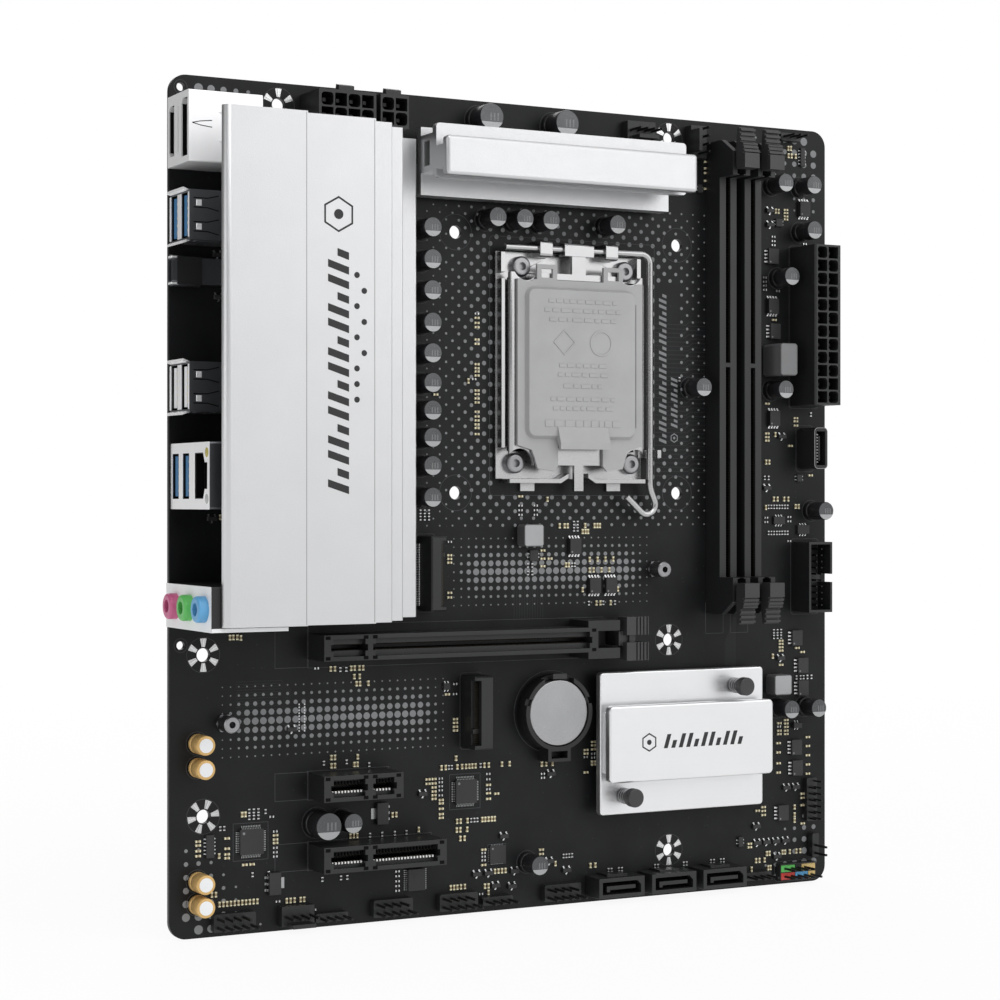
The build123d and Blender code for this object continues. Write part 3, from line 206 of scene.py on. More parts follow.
cover_plastic = finish("cover_plastic", (0.36, 0.36, 0.365), 0.5, shine=0.4, tone=0.05, grain=4500, bump=0.02)
chip_epoxy = finish("chip_epoxy", (0.022, 0.022, 0.023), 0.5, shine=0.4, grain=5200, bump=0.025)
ceramic_tan = finish("ceramic_tan", (0.3, 0.24, 0.14), 0.45, tone=0.18, grain=4000)
cream_tin = finish("cream_tin", (0.74, 0.7, 0.5), 0.4, metal=0.35, tone=0.1, grain=3000, bump=0.01)
lead_tin = finish("lead_tin", (0.36, 0.365, 0.37), 0.34, metal=1.0, tone=0.08, grain=3000, bump=0.005)
pin_dark = finish("pin_dark", (0.025, 0.025, 0.026), 0.4, metal=0.8, tone=0.1, grain=3000, bump=0.005)
ceramic_dark = finish("ceramic_dark", (0.04, 0.038, 0.036), 0.4, tone=0.2, grain=4000)
ferrite = finish("pressed_ferrite", (0.1, 0.1, 0.104), 0.55, shine=0.35, tone=0.1, grain=3600, bump=0.04)
white_plastic = finish("white_plastic", (0.78, 0.79, 0.8), 0.4, tone=0.03, grain=2400)
rubber_pad = finish("thermal_rubber", (0.3, 0.34, 0.42), 0.75, shine=0.2, grain=1500, bump=0.05)
can_side = finish("can_side", (0.014, 0.014, 0.016), 0.36, shine=0.45, grain=2400, bump=0.003)
can_top = finish("can_top", (0.085, 0.087, 0.09), 0.3, metal=0.55, grain=1500)
can_mark = finish("can_mark", (0.34, 0.345, 0.35), 0.35, metal=0.4, tone=0.05, grain=1500)
gold_can = finish("gold_can", (0.62, 0.4, 0.15), 0.42, metal=0.35, tone=0.04, grain=2400, bump=0.003)
can_print = finish("can_print", (0.16, 0.162, 0.165), 0.4, metal=0.3, grain=1500)
contact_dark = finish("contact_in_shade", (0.035, 0.03, 0.022), 0.5, metal=1.0, grain=1800)
# painted highlight: near-white for the lit tips of gold contacts
painted_tip_highlight = finish("contact_tip_painted_highlight", (0.95, 0.94, 0.9), 0.4, metal=0.3, grain=1800)
# painted shade: near-black put in the ports' openings, the card slots' rim windows, the upper row of card
# slot contacts and the shells' slits
painted_shade_black = finish("painted_shade_black", (0.003, 0.003, 0.003), 0.8, shine=0.1, grain=2000)
trace_green_black = finish("trace_under_mask", (0.017, 0.018, 0.0195), 0.4, shine=0.25, tone=0.1, grain=4000)
coil_pale = finish("coil_top_pale", (0.34, 0.345, 0.35), 0.55, shine=0.35, tone=0.05, grain=4500)
coil_grey = finish("coil_top_grey", (0.17, 0.172, 0.175), 0.55, shine=0.35, tone=0.05, grain=4500)
cover_line = finish("cover_line", (0.16, 0.16, 0.165), 0.5, shine=0.3, grain=3000)
cell_steel = finish(
    "cell_steel", (0.37, 0.373, 0.38), 0.34, metal=0.85, tone=0.05, grain=1500, stretch=(1, 1, 4)
)
step_shade = finish(
    "step_shade", (0.3, 0.303, 0.31), 0.5, metal=0.6, tone=0.02, grain=6000, bump=0.0005, wear=0.02
)
motif_dark = finish("motif_dark", (0.018, 0.018, 0.02), 0.45, shine=0.4, grain=3000)


def plain_colour(name, colour):
    """A moulded plastic of one colour, with the same fine relief as the others."""
    return finish(name, colour, 0.35, tone=0.06, grain=2600, bump=0.015)


pink = plain_colour("pink_plastic", (0.5, 0.1, 0.22))
green = plain_colour("green_plastic", (0.1, 0.45, 0.1))
blue = plain_colour("blue_plastic", (0.1, 0.33, 0.58))
usb_blue = plain_colour("usb_blue", (0.03, 0.15, 0.32))
yellow = plain_colour("lamp_yellow", (0.42, 0.36, 0.08))
clear_grey = plain_colour("lamp_clear", (0.4, 0.42, 0.41))
red = plain_colour("red_plastic", (0.5, 0.05, 0.04))
tan = plain_colour("tan_plastic", (0.55, 0.4, 0.15))


# ---------------------------------------------------------------- shaping
def rectangle(sides, corner=0.0):
    """The points of a rectangle, with round corners of three steps if corner is over 0."""
    low_x, high_x, low_z, high_z = sides
    steps = 3
    if corner <= 0:
        return [(low_x, low_z), (high_x, low_z), (high_x, high_z), (low_x, high_z)]
    points = []
    centres = [(high_x - corner, high_z - corner), (low_x + corner, high_z - corner)]
    centres += [(low_x + corner, low_z + corner), (high_x - corner, low_z + corner)]
    for quarter, (x, z) in enumerate(centres):
        for step in range(steps + 1):
            angle = math.pi / 2 * (quarter + step / steps)
            points.append(polar(x, z, corner, angle))
    return points


def around(x, z, half_x, half_z):
    """The sides of a box whose middle is a place."""
    return x - half_x, x + half_x, z - half_z, z + half_z


def grown(sides, margin):
    """The sides of a box that is larger all round, or smaller if margin is under 0."""
    low_x, high_x, low_z, high_z = sides
    return low_x - margin, high_x + margin, low_z - margin, high_z + margin


def spaced(start, pitch, count):
    """Evenly spaced values."""
    return [start + pitch * number for number in range(count)]


def polar(x, z, radius, angle):
    """The point at a radius and an angle from a place."""
    return x + radius * math.cos(angle), z + radius * math.sin(angle)


def circle(x, z, radius, sides=16, start=0.0):
    """The points of a circle."""
    return [polar(x, z, radius, start + 2 * math.pi * i / sides) for i in range(sides)]


class Shape:
    """One mesh in the making, from closed solids given in board millimetres.

    look is a solid's finish, as its number among the finishes that the piece is done in.
    """

    def __init__(self):
        self.points, self.faces, self.looks = [], [], []

    def loft(self, rings, look=0):
        """A closed solid through rings that have the same number of points."""
        start, count = len(self.points), len(rings[0])
        for section in rings:
            self.points.extend(section)
        for level in range(len(rings) - 1):
            base = start + level * count
            for i in range(count):
                j = (i + 1) % count
                self.faces.append((base + i, base + j, base + count + j, base + count + i))
        self.faces.append(tuple(reversed(range(start, start + count))))
        last = start + (len(rings) - 1) * count
        self.faces.append(tuple(range(last, last + count)))
        self.looks.extend([look] * (count * (len(rings) - 1) + 2))

    def prism(self, outline, low_n, high_n, look=0):
        """An outline in X and Z, pulled out along N."""
        self.loft([[(x, z, n) for x, z in outline] for n in (low_n, high_n)], look)

    def slab(self, sides, low_n, high_n, edge=0.1, corner=0.0, look=0):
        """A box given by low X, high X, low Z and high Z, its outer rim eased by edge."""
        shrink = math.copysign(edge, high_n - low_n)
        outer, inner = rectangle(sides, corner), rectangle(grown(sides, -edge), corner)
        rings = [[(x, z, low_n) for x, z in outer], [(x, z, high_n - shrink) for x, z in outer]]
        rings.append([(x, z, high_n) for x, z in inner])
        self.loft(rings, look)

    def column(self, x, z, profile, sides=16, look=0, axis="n"):
        """A turned solid. Its profile is radius and height pairs, along N, or along X from Z and N."""
        rings = []
        for radius, height in profile:
            outline = circle(x, z, radius, sides)
            rings.append([(u, v, height) if axis == "n" else (height, u, v) for u, v in outline])
        self.loft(rings, look)

    def plate(self, outline, low_x, high_x, look=0):
        """An outline in Z and N, pulled out along X."""
        self.loft([[(x, z, n) for z, n in outline] for x in (low_x, high_x)], look)

    def shade_lining(self, low_x, high_x, low_z, high_z, low_n, high_n):
        """Thin walls and a back of painted shade that line an opening in a port's face."""
        skin = 0.06
        across = (low_x, high_x, low_z, high_z)
        for sides, low, high in (
            ((low_x, high_x, low_z, low_z + skin), low_n, high_n),
            ((low_x, high_x, high_z - skin, high_z), low_n, high_n),
            (across, low_n, low_n + skin),
            (across, high_n - skin, high_n),
            ((high_x - skin, high_x, low_z, high_z), low_n, high_n),
        ):
            self.slab(sides, low, high, 0.01)

    def hoop(self, outer, inner, low_n, high_n, look=0):
        """A closed band between two outlines that have the same number of points."""
        start, count = len(self.points), len(outer)
        for outline, n in ((outer, low_n), (outer, high_n), (inner, high_n), (inner, low_n)):
            self.points.extend((x, z, n) for x, z in outline)
        for level in range(4):
            here, there = start + level * count, start + (level + 1) % 4 * count
            for i in range(count):
                j = (i + 1) % count
                self.faces.append((here + i, here + j, there + j, there + i))
        self.looks.extend([look] * (4 * count))

    def strip(self, start, way, path, width, thick, look=0):
        """A bent strip that leaves start along way, through pairs of reach and height N."""
        rings = []
        for index, (reach, n) in enumerate(path):
            before, after = path[max(0, index - 1)], path[min(len(path) - 1, index + 1)]
            run, rise = after[0] - before[0], after[1] - before[1]
            length = math.hypot(run, rise)
            lift = (-rise / length * thick / 2, run / length * thick / 2)
            corners = []
            for side, face in ((-1, -1), (1, -1), (1, 1), (-1, 1)):
                out = reach + face * lift[0]
                x = start[0] + way[0] * out - way[1] * side * width / 2
                z = start[1] + way[1] * out + way[0] * side * width / 2
                corners.append((x, z, n + face * lift[1]))
            rings.append(corners)
        self.loft(rings, look)

    def line(self, start, end, width, low_n, high_n, look=0):
        """A straight line of some width, as printed or etched on the board."""
        run, rise = end[0] - start[0], end[1] - start[1]
        length = math.hypot(run, rise)
        u, v = -rise / length * width / 2, run / length * width / 2
        outline = [(start[0] + u, start[1] + v), (start[0] - u, start[1] - v)]
        outline += [(end[0] - u, end[1] - v), (end[0] + u, end[1] + v)]
        self.prism(outline, low_n, high_n, look)

    def route(self, points, width, low_n, high_n):
        """Straight lines from point to point."""
        for start, end in zip(points, points[1:]):
            self.line(start, end, width, low_n, high_n)

    def done(self, name, finishes, body="board", slot=None):
        """The finished piece, riding on its body."""
        mesh = bpy.data.meshes.new(name)
        mesh.from_pydata([place(*point) for point in self.points], [], self.faces)
        for made in finishes:
            mesh.materials.append(made)
        mesh.polygons.foreach_set("material_index", self.looks)
        smooth_by_angle(mesh)
        piece = bpy.data.objects.new(name, mesh)
        bpy.context.scene.collection.objects.link(piece)
        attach(piece, body)
        return piece


def smooth_by_angle(mesh):
    """Points every face outwards, and shades smooth all but the sharp edges."""
    limit = math.radians(38)
    work = bmesh.new()
    work.from_mesh(mesh)
    bmesh.ops.recalc_face_normals(work, faces=work.faces)
    for polygon in work.faces:
        polygon.smooth = True
    for edge in work.edges:
        edge.smooth = len(edge.link_faces) == 2 and edge.calc_face_angle() < limit
    work.to_mesh(mesh)
    work.free()


def dress(node, made):
    """Gives a CAD node its material."""
    mesh = frame["nodes"][node].data
    mesh.materials.clear()
    mesh.materials.append(made)


def soften(node, width):
    """Eases a CAD node's sharp edges, as moulding and stamping leave them."""
    shown = frame["nodes"][node]
    weld = shown.modifiers.new("join", "WELD")
    weld.merge_threshold = 0.002 * MM
    ease = shown.modifiers.new("ease", "BEVEL")
    ease.width = width * MM
    ease.segments = 2
    ease.limit_method = "ANGLE"
    ease.angle_limit = math.radians(40)
    ease.use_clamp_overlap = True
    ease.harden_normals = True


# ---------------------------------------------------------------- CAD nodes and their finishes
MEMORY_SLOTS = ["dimm_slot_inner", "dimm_slot_outer"]
CARD_SLOTS = ["pcie_x16_slot", "pcie_x4_slot", "pcie_x1_slot"]
MEMORY_LATCHES = [f"dimm_latch_{row}_{end}" for row in ("inner", "outer") for end in ("lower", "upper")]
HOUSINGS = ["main_power_connector", "cpu_power_connectors", "sata_ports", "usb3_header", "fan_headers"]

# What each CAD node is finished in, and how far its edges are eased, in millimetres
CAD_FINISHES = [
    (solder_mask, 0.0, ["circuit_board"]),
    (black_plastic, 0.0, ["front_usb_c_header"]),
    (black_plastic, 0.1, ["audio_block"]),
    (black_plastic, 0.12, ["socket_housing"]),
    (black_plastic, 0.15, ["battery_holder"]),
    (slot_plastic, 0.0, ["m2_connector_lower", "m2_connector_upper", "pin_headers"]),
    (slot_plastic, 0.08, ["front_panel_header"]),
    (slot_plastic, 0.12, MEMORY_SLOTS + CARD_SLOTS + HOUSINGS),
    (latch_plastic, 0.0, ["push_pin_upper", "push_pin_lower"]),
    (latch_plastic, 0.15, [*MEMORY_LATCHES, "pcie_latch"]),
    (cover_plastic, 0.18, ["socket_cover"]),
    (chip_epoxy, 0.08, ["chipset"]),
    (chip_epoxy, 0.1, ["power_stages", "chips"]),
    (ferrite, 0.0, ["inductors"]),
    (rubber_pad, 0.15, ["thermal_pads"]),
    (blasted, 0.25, ["rear_heatsink", "upper_heatsink"]),
    (brushed, 0.0, ["chipset_heatsink"]),
    (bright_steel, 0.0, ["load_lever"]),
    (bright_steel, 0.15, ["socket_frame", "load_plate"]),
    (spring_steel, 0.0, ["socket_screws", "m2_standoffs"]),
    (dark_steel, 0.0, ["heatsink_screws"]),
    (dark_steel, 0.05, ["battery_clip"]),
    (dark_steel, 0.2, ["socket_backplate"]),
    (cell_steel, 0.0, ["coin_cell"]),
    (pin_dark, 0.06, ["connector_pins"]),
    (dark_nickel, 0.08, ["usb_c_port"]),
    (dark_nickel, 0.1, ["usb_stack_upper", "usb_stack_lower", "usb_lan_stack"]),
    (white_metal, 0.1, ["display_connector"]),
    (pink, 0.0, ["audio_jack_pink"]),
    (green, 0.0, ["audio_jack_green"]),
    (blue, 0.0, ["audio_jack_blue"]),
]
for cad_finish, easing, cad_nodes in CAD_FINISHES:
    for cad_node in cad_nodes:
        dress(cad_node, cad_finish)
        if easing:
            soften(cad_node, easing)


# ---------------------------------------------------------------- camera, light and floor
CAMERA_AT = (-0.34994, -0.61877, -0.04115)
CAMERA_TURN = -27.843  # degrees about Z, from looking along Y
CAMERA_LENS = 83.163
SENSOR_WIDTH = 36.0

# Each lamp's place, its size in metres and its power in watts
LAMPS = {
    "key": ((-0.15, -0.7, 0.75), 0.6, 2.6),
    "fill": ((0.5, -0.85, 0.32), 0.6, 1.25),
    "side": ((-1.2, -0.25, 0.25), 0.8, 2.6),
    "back": ((0.3, 1.2, 0.6), 1.0, 6),
}
LAMPS_FACE = (-0.01, 0, -0.04)

# Where the studio is brightest, and how bright it is from its darkest side at 0 to that side at 1.
# The ramp's own two ends come first.
BRIGHT_SIDE = (0.45, -0.5, 0.75)
SKY_LEVELS = [(0.0, 0.03), (1.0, 1.2), (0.5, 0.17), (0.74, 0.41), (0.87, 0.86)]


def add_camera():
    """The camera, looking level and across the board from its port edge."""
    lens = bpy.data.cameras.new("camera")
    lens.lens = CAMERA_LENS
    lens.sensor_width = SENSOR_WIDTH
    eye = bpy.data.objects.new("camera", lens)
    eye.location = CAMERA_AT
    eye.rotation_euler = (math.radians(90), 0, math.radians(CAMERA_TURN))
    bpy.context.scene.collection.objects.link(eye)
    bpy.context.scene.camera = eye


def add_light(name, where, size, power):
    """A soft square lamp that faces the board."""
    lamp = bpy.data.lights.new(name, "AREA")
    lamp.shape = "SQUARE"
    lamp.size = size
    lamp.energy = power
    lit = bpy.data.objects.new(name, lamp)
    lit.location = where
    lit.rotation_euler = (Vector(LAMPS_FACE) - Vector(where)).to_track_quat("-Z", "Y").to_euler()
    bpy.context.scene.collection.objects.link(lit)


def add_surroundings():
    """A white studio that is brightest above and to the right, and plain white where the lens sees it."""
    world = bpy.data.worlds.new("studio")
    bpy.context.scene.world = world
    world.use_nodes = True
    tree = world.node_tree
    output, even = tree.nodes["World Output"], tree.nodes["Background"]
    seen = tree.nodes.new("ShaderNodeBackground")
    seen.inputs["Color"].default_value = (1, 1, 1, 1)
    path = tree.nodes.new("ShaderNodeLightPath")
    mix = tree.nodes.new("ShaderNodeMixShader")
    where = tree.nodes.new("ShaderNodeTexCoord")
    towards = tree.nodes.new("ShaderNodeVectorMath")
    towards.operation = "DOT_PRODUCT"
    towards.inputs[1].default_value = Vector(BRIGHT_SIDE).normalized()
    ramp = tree.nodes.new("ShaderNodeValToRGB")
    for number, (position, level) in enumerate(SKY_LEVELS):
        stop = ramp.color_ramp.elements[number] if number < 2 else ramp.color_ramp.elements.new(position)
        stop.position = position
        stop.color = (level, level, level, 1)
    share = tree.nodes.new("ShaderNodeMapRange")
    share.inputs["From Min"].default_value = -1.0
    tree.links.new(where.outputs["Generated"], towards.inputs[0])
    tree.links.new(towards.outputs["Value"], share.inputs["Value"])
    tree.links.new(share.outputs["Result"], ramp.inputs["Fac"])
    tree.links.new(ramp.outputs["Color"], even.inputs["Color"])
    tree.links.new(path.outputs["Is Camera Ray"], mix.inputs["Fac"])
    tree.links.new(even.outputs["Background"], mix.inputs[1])
    tree.links.new(seen.outputs["Background"], mix.inputs[2])
    tree.links.new(mix.outputs["Shader"], output.inputs["Surface"])


def add_floor():
    """A plain white floor that fades into the background away from the board."""
    mesh = bpy.data.meshes.new("floor")
    reach, level = 30.0, cad_box[0].z - 0.0002
    corners = [(-reach, -reach, level), (reach, -reach, level), (reach, reach, level), (-reach, reach, level)]
    mesh.from_pydata(corners, [], [(0, 1, 2, 3)])
    made, tree, shader = nodes_of("floor_white")
    shader.inputs["Base Color"].default_value = (0.86, 0.86, 0.86, 1)
    shader.inputs["Roughness"].default_value = 0.8
    shader.inputs["Specular IOR Level"].default_value = 0.1
    glow = tree.nodes.new("ShaderNodeEmission")
    where = tree.nodes.new("ShaderNodeNewGeometry")
    distance = tree.nodes.new("ShaderNodeVectorMath")
    distance.operation = "LENGTH"
    fade = tree.nodes.new("ShaderNodeMapRange")
    fade.inputs["From Min"].default_value = 0.15
    fade.inputs["From Max"].default_value = 0.9
    fade.inputs["To Min"].default_value = 0.92
    mix = tree.nodes.new("ShaderNodeMixShader")
    tree.links.new(where.outputs["Position"], distance.inputs[0])
    tree.links.new(distance.outputs["Value"], fade.inputs["Value"])
    tree.links.new(fade.outputs["Result"], mix.inputs["Fac"])
    tree.links.new(shader.outputs["BSDF"], mix.inputs[1])
    tree.links.new(glow.outputs["Emission"], mix.inputs[2])
    tree.links.new(mix.outputs["Shader"], tree.nodes["Material Output"].inputs["Surface"])
    mesh.materials.append(made)
    floor = bpy.data.objects.new("floor", mesh)
    bpy.context.scene.collection.objects.link(floor)


add_camera()
add_surroundings()
add_floor()
for lamp_name, lamp_values in LAMPS.items():
    add_light(lamp_name, *lamp_values)
bpy.context.scene.view_settings.view_transform = "Standard"


# ---------------------------------------------------------------- what is printed on the board
PRINT, TRACE, VIA = 0.03, 0.012, 0.014  # how far print, etched lines and vias stand up
OUTLINE = 0.14  # the width of the printed outlines
DOT_PITCH, M2_DOT_PITCH, CORNER_DOT_PITCH = 4.25, 2.5, 3.75


def hole_places():
    """The places of the case's holes and of the cooler's holes, from the record's mounts."""
    case = []
    for name in ("case_holes_rear", "case_holes_middle", "case_holes_top"):
        x, z, dims = mount_place(name)
        along_x, along_z = dims.get("spacing_x_mm", 0) / 2, dims.get("spacing_y_mm", 0) / 2
        case += [(x - along_x, z - along_z), (x + along_x, z + along_z)]
    x, z, dims = mount_place("cooler_holes")
    half = dims["spacing_x_mm"] / 2
    return case, [(x + u, z + v) for u in (-half, half) for v in (-half, half)]


CASE_HOLES, COOLER_HOLES = hole_places()
LETTERED_STRIP = (160.2, 169.4, 140.0, 191.0)  # kept free of dots, for the stripes beside the socket
SINK_FACE = 35.0
SINK_STEPS = [(25.8, 38.0), (47.5, SINK_FACE)]  # where the rear heatsink's face steps down: X and N


def clear_of(x, z, boxes):
    """True if a point is in none of the boxes."""
    return not any(low_x < x < high_x and low_z < z < high_z for low_x, high_x, low_z, high_z in boxes)


def near(x, z, places, reach):
    """True if a point is within reach of one of the places."""
    return min(math.hypot(x - place_x, z - place_z) for place_x, place_z in places) < reach


def dot_field_socket():
    """The staggered dots round the processor socket, smaller away from it."""
    shape = Shape()
    middle_x, middle_z = middle_of("socket_frame")
    kept_clear = [extent("socket_frame")[:4], LETTERED_STRIP]
    low_x, high_x, low_z, high_z = 80.55, 179.0, 116.25, 214.0
    for row in range(int((high_z - low_z) / (DOT_PITCH / 2)) + 1):
        z = low_z + row * DOT_PITCH / 2
        for column in range(int((high_x - low_x) / DOT_PITCH) + 1):
            x = low_x + (column + row % 2 / 2) * DOT_PITCH
            past = math.hypot(max(0.0, abs(x - middle_x) - 25), max(0.0, abs(z - middle_z) - 34))
            if clear_of(x, z, kept_clear) and not near(x, z, COOLER_HOLES, 3.2):
                shape.prism(circle(x, z, max(0.27, 0.86 - 0.026 * past), 12), 0, PRINT)
    shape.done("printed_dots_socket", [silkscreen], slot="board")


def dot_field_drive(name, low_x, high_x, low_z):
    """Nine even rows of dots under an M.2 drive, largest along its middle."""
    shape = Shape()
    columns = int((high_x - low_x) / M2_DOT_PITCH) + 1
    for row, radius in enumerate((0.25, 0.45, 0.65, 0.9, 1.05, 0.9, 0.65, 0.45, 0.25)):
        for column in range(columns):
            fade = min(1.0, 0.25 + 0.25 * column, 0.25 + 0.25 * (columns - 1 - column))
            x, z = low_x + M2_DOT_PITCH * column, low_z + M2_DOT_PITCH * row
            shape.prism(circle(x, z, max(0.2, radius * fade), 12), 0, PRINT)
    shape.done(name, [silkscreen], slot="board")


def dot_field_corners():
    """Dots that shrink away from the corners of the board, and keep off the case holes."""
    shape = Shape()
    middle_columns, middle_rows = BOARD_WIDTH / 2, BOARD_HEIGHT / 2
    for corner_x, corner_z in ((5.0, 2.4), (220.5, 2.6), (220.4, 240.2), (5.0, 240.4)):
        step_x = math.copysign(CORNER_DOT_PITCH, middle_columns - corner_x)
        step_z = math.copysign(CORNER_DOT_PITCH, middle_rows - corner_z)
        for column in range(7):
            for row in range(7):
                x, z = corner_x + step_x * column, corner_z + step_z * row
                radius = 1.5 - 0.19 * max(column, 1) - 0.13 * row
                on_board = math.hypot(max(0, 5 - x), max(0, 5 - z)) < 3.4 and (column, row) != (0, 0)
                if on_board and radius > 0.3 and not near(x, z, CASE_HOLES, 6.4):
                    shape.prism(circle(x, z, radius, 16), 0, PRINT)
    shape.done("printed_dots_corners", [silkscreen], slot="board")


def wedge(shape, x, z, inner, outer, middle, half_angle, low_n, high_n):
    """A ring segment with straight ends."""
    steps = 5
    angles = [middle + half_angle * (2 * i / steps - 1) for i in range(steps + 1)]
    outline = [polar(x, z, outer, angle) for angle in angles]
    outline += [polar(x, z, inner, angle) for angle in reversed(angles)]
    shape.prism(outline, low_n, high_n)


def ring(shape, x, z, radius, width, low_n, high_n, sides=48):
    """A flat ring."""
    shape.hoop(circle(x, z, radius + width, sides), circle(x, z, radius, sides), low_n, high_n)


def hole_pads():
    """Tinned petals round each case hole, on both faces, and the printed rings."""
    pads, rings = Shape(), Shape()
    for number, (x, z) in enumerate(CASE_HOLES):
        turn = math.radians(10 if number == 0 else 30)
        for petal in range(6):
            middle = turn + petal * math.pi / 3
            wedge(pads, x, z, 2.3, 4.75, middle, math.radians(12), 0, 0.04)
            pads.line(polar(x, z, 2.4, middle), polar(x, z, 4.6, middle), 0.42, 0.03, 0.16, 1)
            wedge(pads, x, z, 2.3, 4.75, middle, math.radians(13), REAR, REAR - 0.05)
        ring(rings, x, z, 4.9, 0.12, 0, PRINT)
    for x, z in COOLER_HOLES:
        ring(rings, x, z, 5.3, 0.12, 0, PRINT)
        ring(pads, x, z, 2.05, 0.5, REAR, REAR - 0.04)
    for name in ("tooling_hole_lower", "tooling_hole_upper"):
        x, z, _ = mount_place(name)
        ring(rings, x, z, 1.9, 0.12, 0, PRINT)
    pads.done("hole_pads", [tin, solder], slot="nickel")
    rings.done("printed_rings", [silkscreen_dim], slot="board")


def printed_box(shape, sides, corner=0.0):
    """The thin printed outline that shows where a part goes."""
    inner = rectangle(grown(sides, -OUTLINE), max(0, corner - OUTLINE))
    shape.hoop(rectangle(sides, corner), inner, 0, PRINT)


def printed_outlines():
    """Outlines round the sockets, slots, headers, chips and cans."""
    shape = Shape()
    margins = {"socket_frame": 1.4, "usb3_header": 1.0, "front_usb_c_header": 0.9}
    margins.update({"main_power_connector": 0.8, "m2_connector_lower": 0.7, "m2_connector_upper": 0.7})
    margins["front_panel_header"] = 0.5
    for node, margin in margins.items():
        printed_box(shape, grown(extent(node)[:4], margin), 1.2)
    for slot_node in CARD_SLOTS:
        low_x, _, low_z, high_z = extent(slot_node)[:4]
        printed_box(shape, (low_x - 10.6, low_x - 0.1, low_z - 0.3, high_z + 0.3))
        printed_box(shape, grown(extent(slot_node)[:4], 0.5))
    for slot_node in MEMORY_SLOTS:
        low_x, high_x, low_z = extent(slot_node)[:3]
        printed_box(shape, (low_x - 0.2, high_x + 0.2, low_z - 6.5, low_z + 3.5), 0.4)
    for (x, z), half_x, half_z in ((AUDIO_CHIP, 5.4, 5.4), (CONTROL_CHIP, 5.2, 5.3), (THIN_CHIP, 3.1, 3.1)):
        printed_box(shape, around(x, z, half_x, half_z))
    ticks = Shape()
    for z in spaced(57.2, 0.85, 10):
        for x in (39.5, 41.2):
            ticks.line((x, z - 0.24), (x, z + 0.24), 0.36, 0, 2 * PRINT)
    ticks.done("printed_ticks", [silkscreen_white], slot="board")
    for places, radius in ((SMALL_CANS, 3.4), (LARGE_CANS, 4.5), (AUDIO_CANS, 3.2)):
        for x, z in places:
            ring(shape, x, z, radius, OUTLINE, 0, PRINT, 32)
    ring(shape, *middle_of("coin_cell"), 12.4, 0.16, 0, PRINT, 64)
    shape.done("printed_outlines", [silkscreen_dim], slot="board")


def slanted_bars(shape, low_x, high_x, low_z, high_z, count, low_n, high_n):
    """A plain row of leaning bars along the longer side, with every third one short."""
    lean, fill, short = 0.5, 0.52, 0.55
    upright = high_z - low_z > high_x - low_x
    length, depth = (high_z - low_z, high_x - low_x) if upright else (high_x - low_x, high_z - low_z)
    pitch = length / count
    for number in range(count):
        share = short if number % 3 == 1 else 1.0
        start, bar_width, slide = number * pitch, pitch * fill, pitch * lean
        corners = [(start, 0), (start + bar_width, 0), (start + bar_width + slide * share, depth * share)]
        corners.append((start + slide * share, depth * share))
        outline = [(high_x - v, low_z + u) if upright else (low_x + u, low_z + v) for u, v in corners]
        shape.prism(outline, low_n, high_n)


def hexagon_mark(shape, x, z, radius, width, low_n, high_n):
    """A plain hexagonal outline with a dot in its middle."""
    turn = math.pi / 6
    shape.hoop(circle(x, z, radius, 6, turn), circle(x, z, radius - width, 6, turn), low_n, high_n)
    shape.prism(circle(x, z, radius * 0.28, 18), low_n, high_n)


def plain_marks():
    """Plain stripes and dots, where a maker would print names on the board and the heatsinks, and strips of
    painted shadow at the rear heatsink's steps.
    """
    board_marks = Shape()
    slanted_bars(board_marks, 161.5, 164.2, 141.5, 189.0, 26, 0, PRINT)
    slanted_bars(board_marks, 165.9, 168.3, 146.5, 162.5, 10, 0, PRINT)
    hexagon_mark(board_marks, 167.1, 143.4, 1.5, 0.35, 0, PRINT)
    board_marks.done("board_marks", [silkscreen], slot="board")

    sink_marks = Shape()
    slanted_bars(sink_marks, 33.3, 39.6, 125.5, 194.0, 17, SINK_FACE, SINK_FACE + PRINT)
    hexagon_mark(sink_marks, 36.5, 202.5, 5.0, 0.6, SINK_FACE, SINK_FACE + PRINT)
    for number, z in enumerate(spaced(186.0, -4.3, 9)):
        x = 44.2 if number in (1, 3, 5) else 42.0
        sink_marks.prism(circle(x, z, 0.85, 16), SINK_FACE, SINK_FACE + PRINT)
    low_z, high_z = extent("rear_heatsink")[2:4]
    # strips of painted shadow just before each step down of the rear heatsink's face
    for step_x, step_n in SINK_STEPS:
        step_shadow = (step_x - 0.22, step_x, low_z + 0.3, high_z - 0.3)
        sink_marks.slab(step_shadow, step_n, step_n + 0.02, 0.005, 0, 1)
    plate = extent("chipset_heatsink")[5]
    slanted_bars(sink_marks, 155.6, 185.4, 47.5, 51.8, 11, plate, plate + PRINT)
    hexagon_mark(sink_marks, 150.4, 49.6, 2.9, 0.5, plate, plate + PRINT)
    sink_marks.done("heatsink_marks", [motif_dark, step_shade], slot="board")


# ---------------------------------------------------------------- cans
SMALL_CANS = [(78.4, z) for z in (204.1, 194.7, 185.6, 176.1, 167.1, 158.4, 150.3, 142.3, 134.0, 124.7)]
SMALL_CANS += [(x, 208.3) for x in (100.0, 109.2, 118.2, 141.5)] + [(52.9, 30.6), (114.3, 13.9)]
SMALL_CANS += [(203.8, 225.1), (214.8, 225.1), (215.0, 210.6), (206.2, 195.4), (203.8, 159.2)]
SMALL_CANS += [(172.8, 159.2), (219.4, 120.4), (206.1, 57.0), (216.6, 57.0)]
LARGE_CANS = [(44.9, 30.3), (97.6, 237.9), (123.4, 237.9)]
AUDIO_CANS = [(8.3, 55.1), (8.3, 48.3), (8.3, 16.1), (8.3, 9.6)]


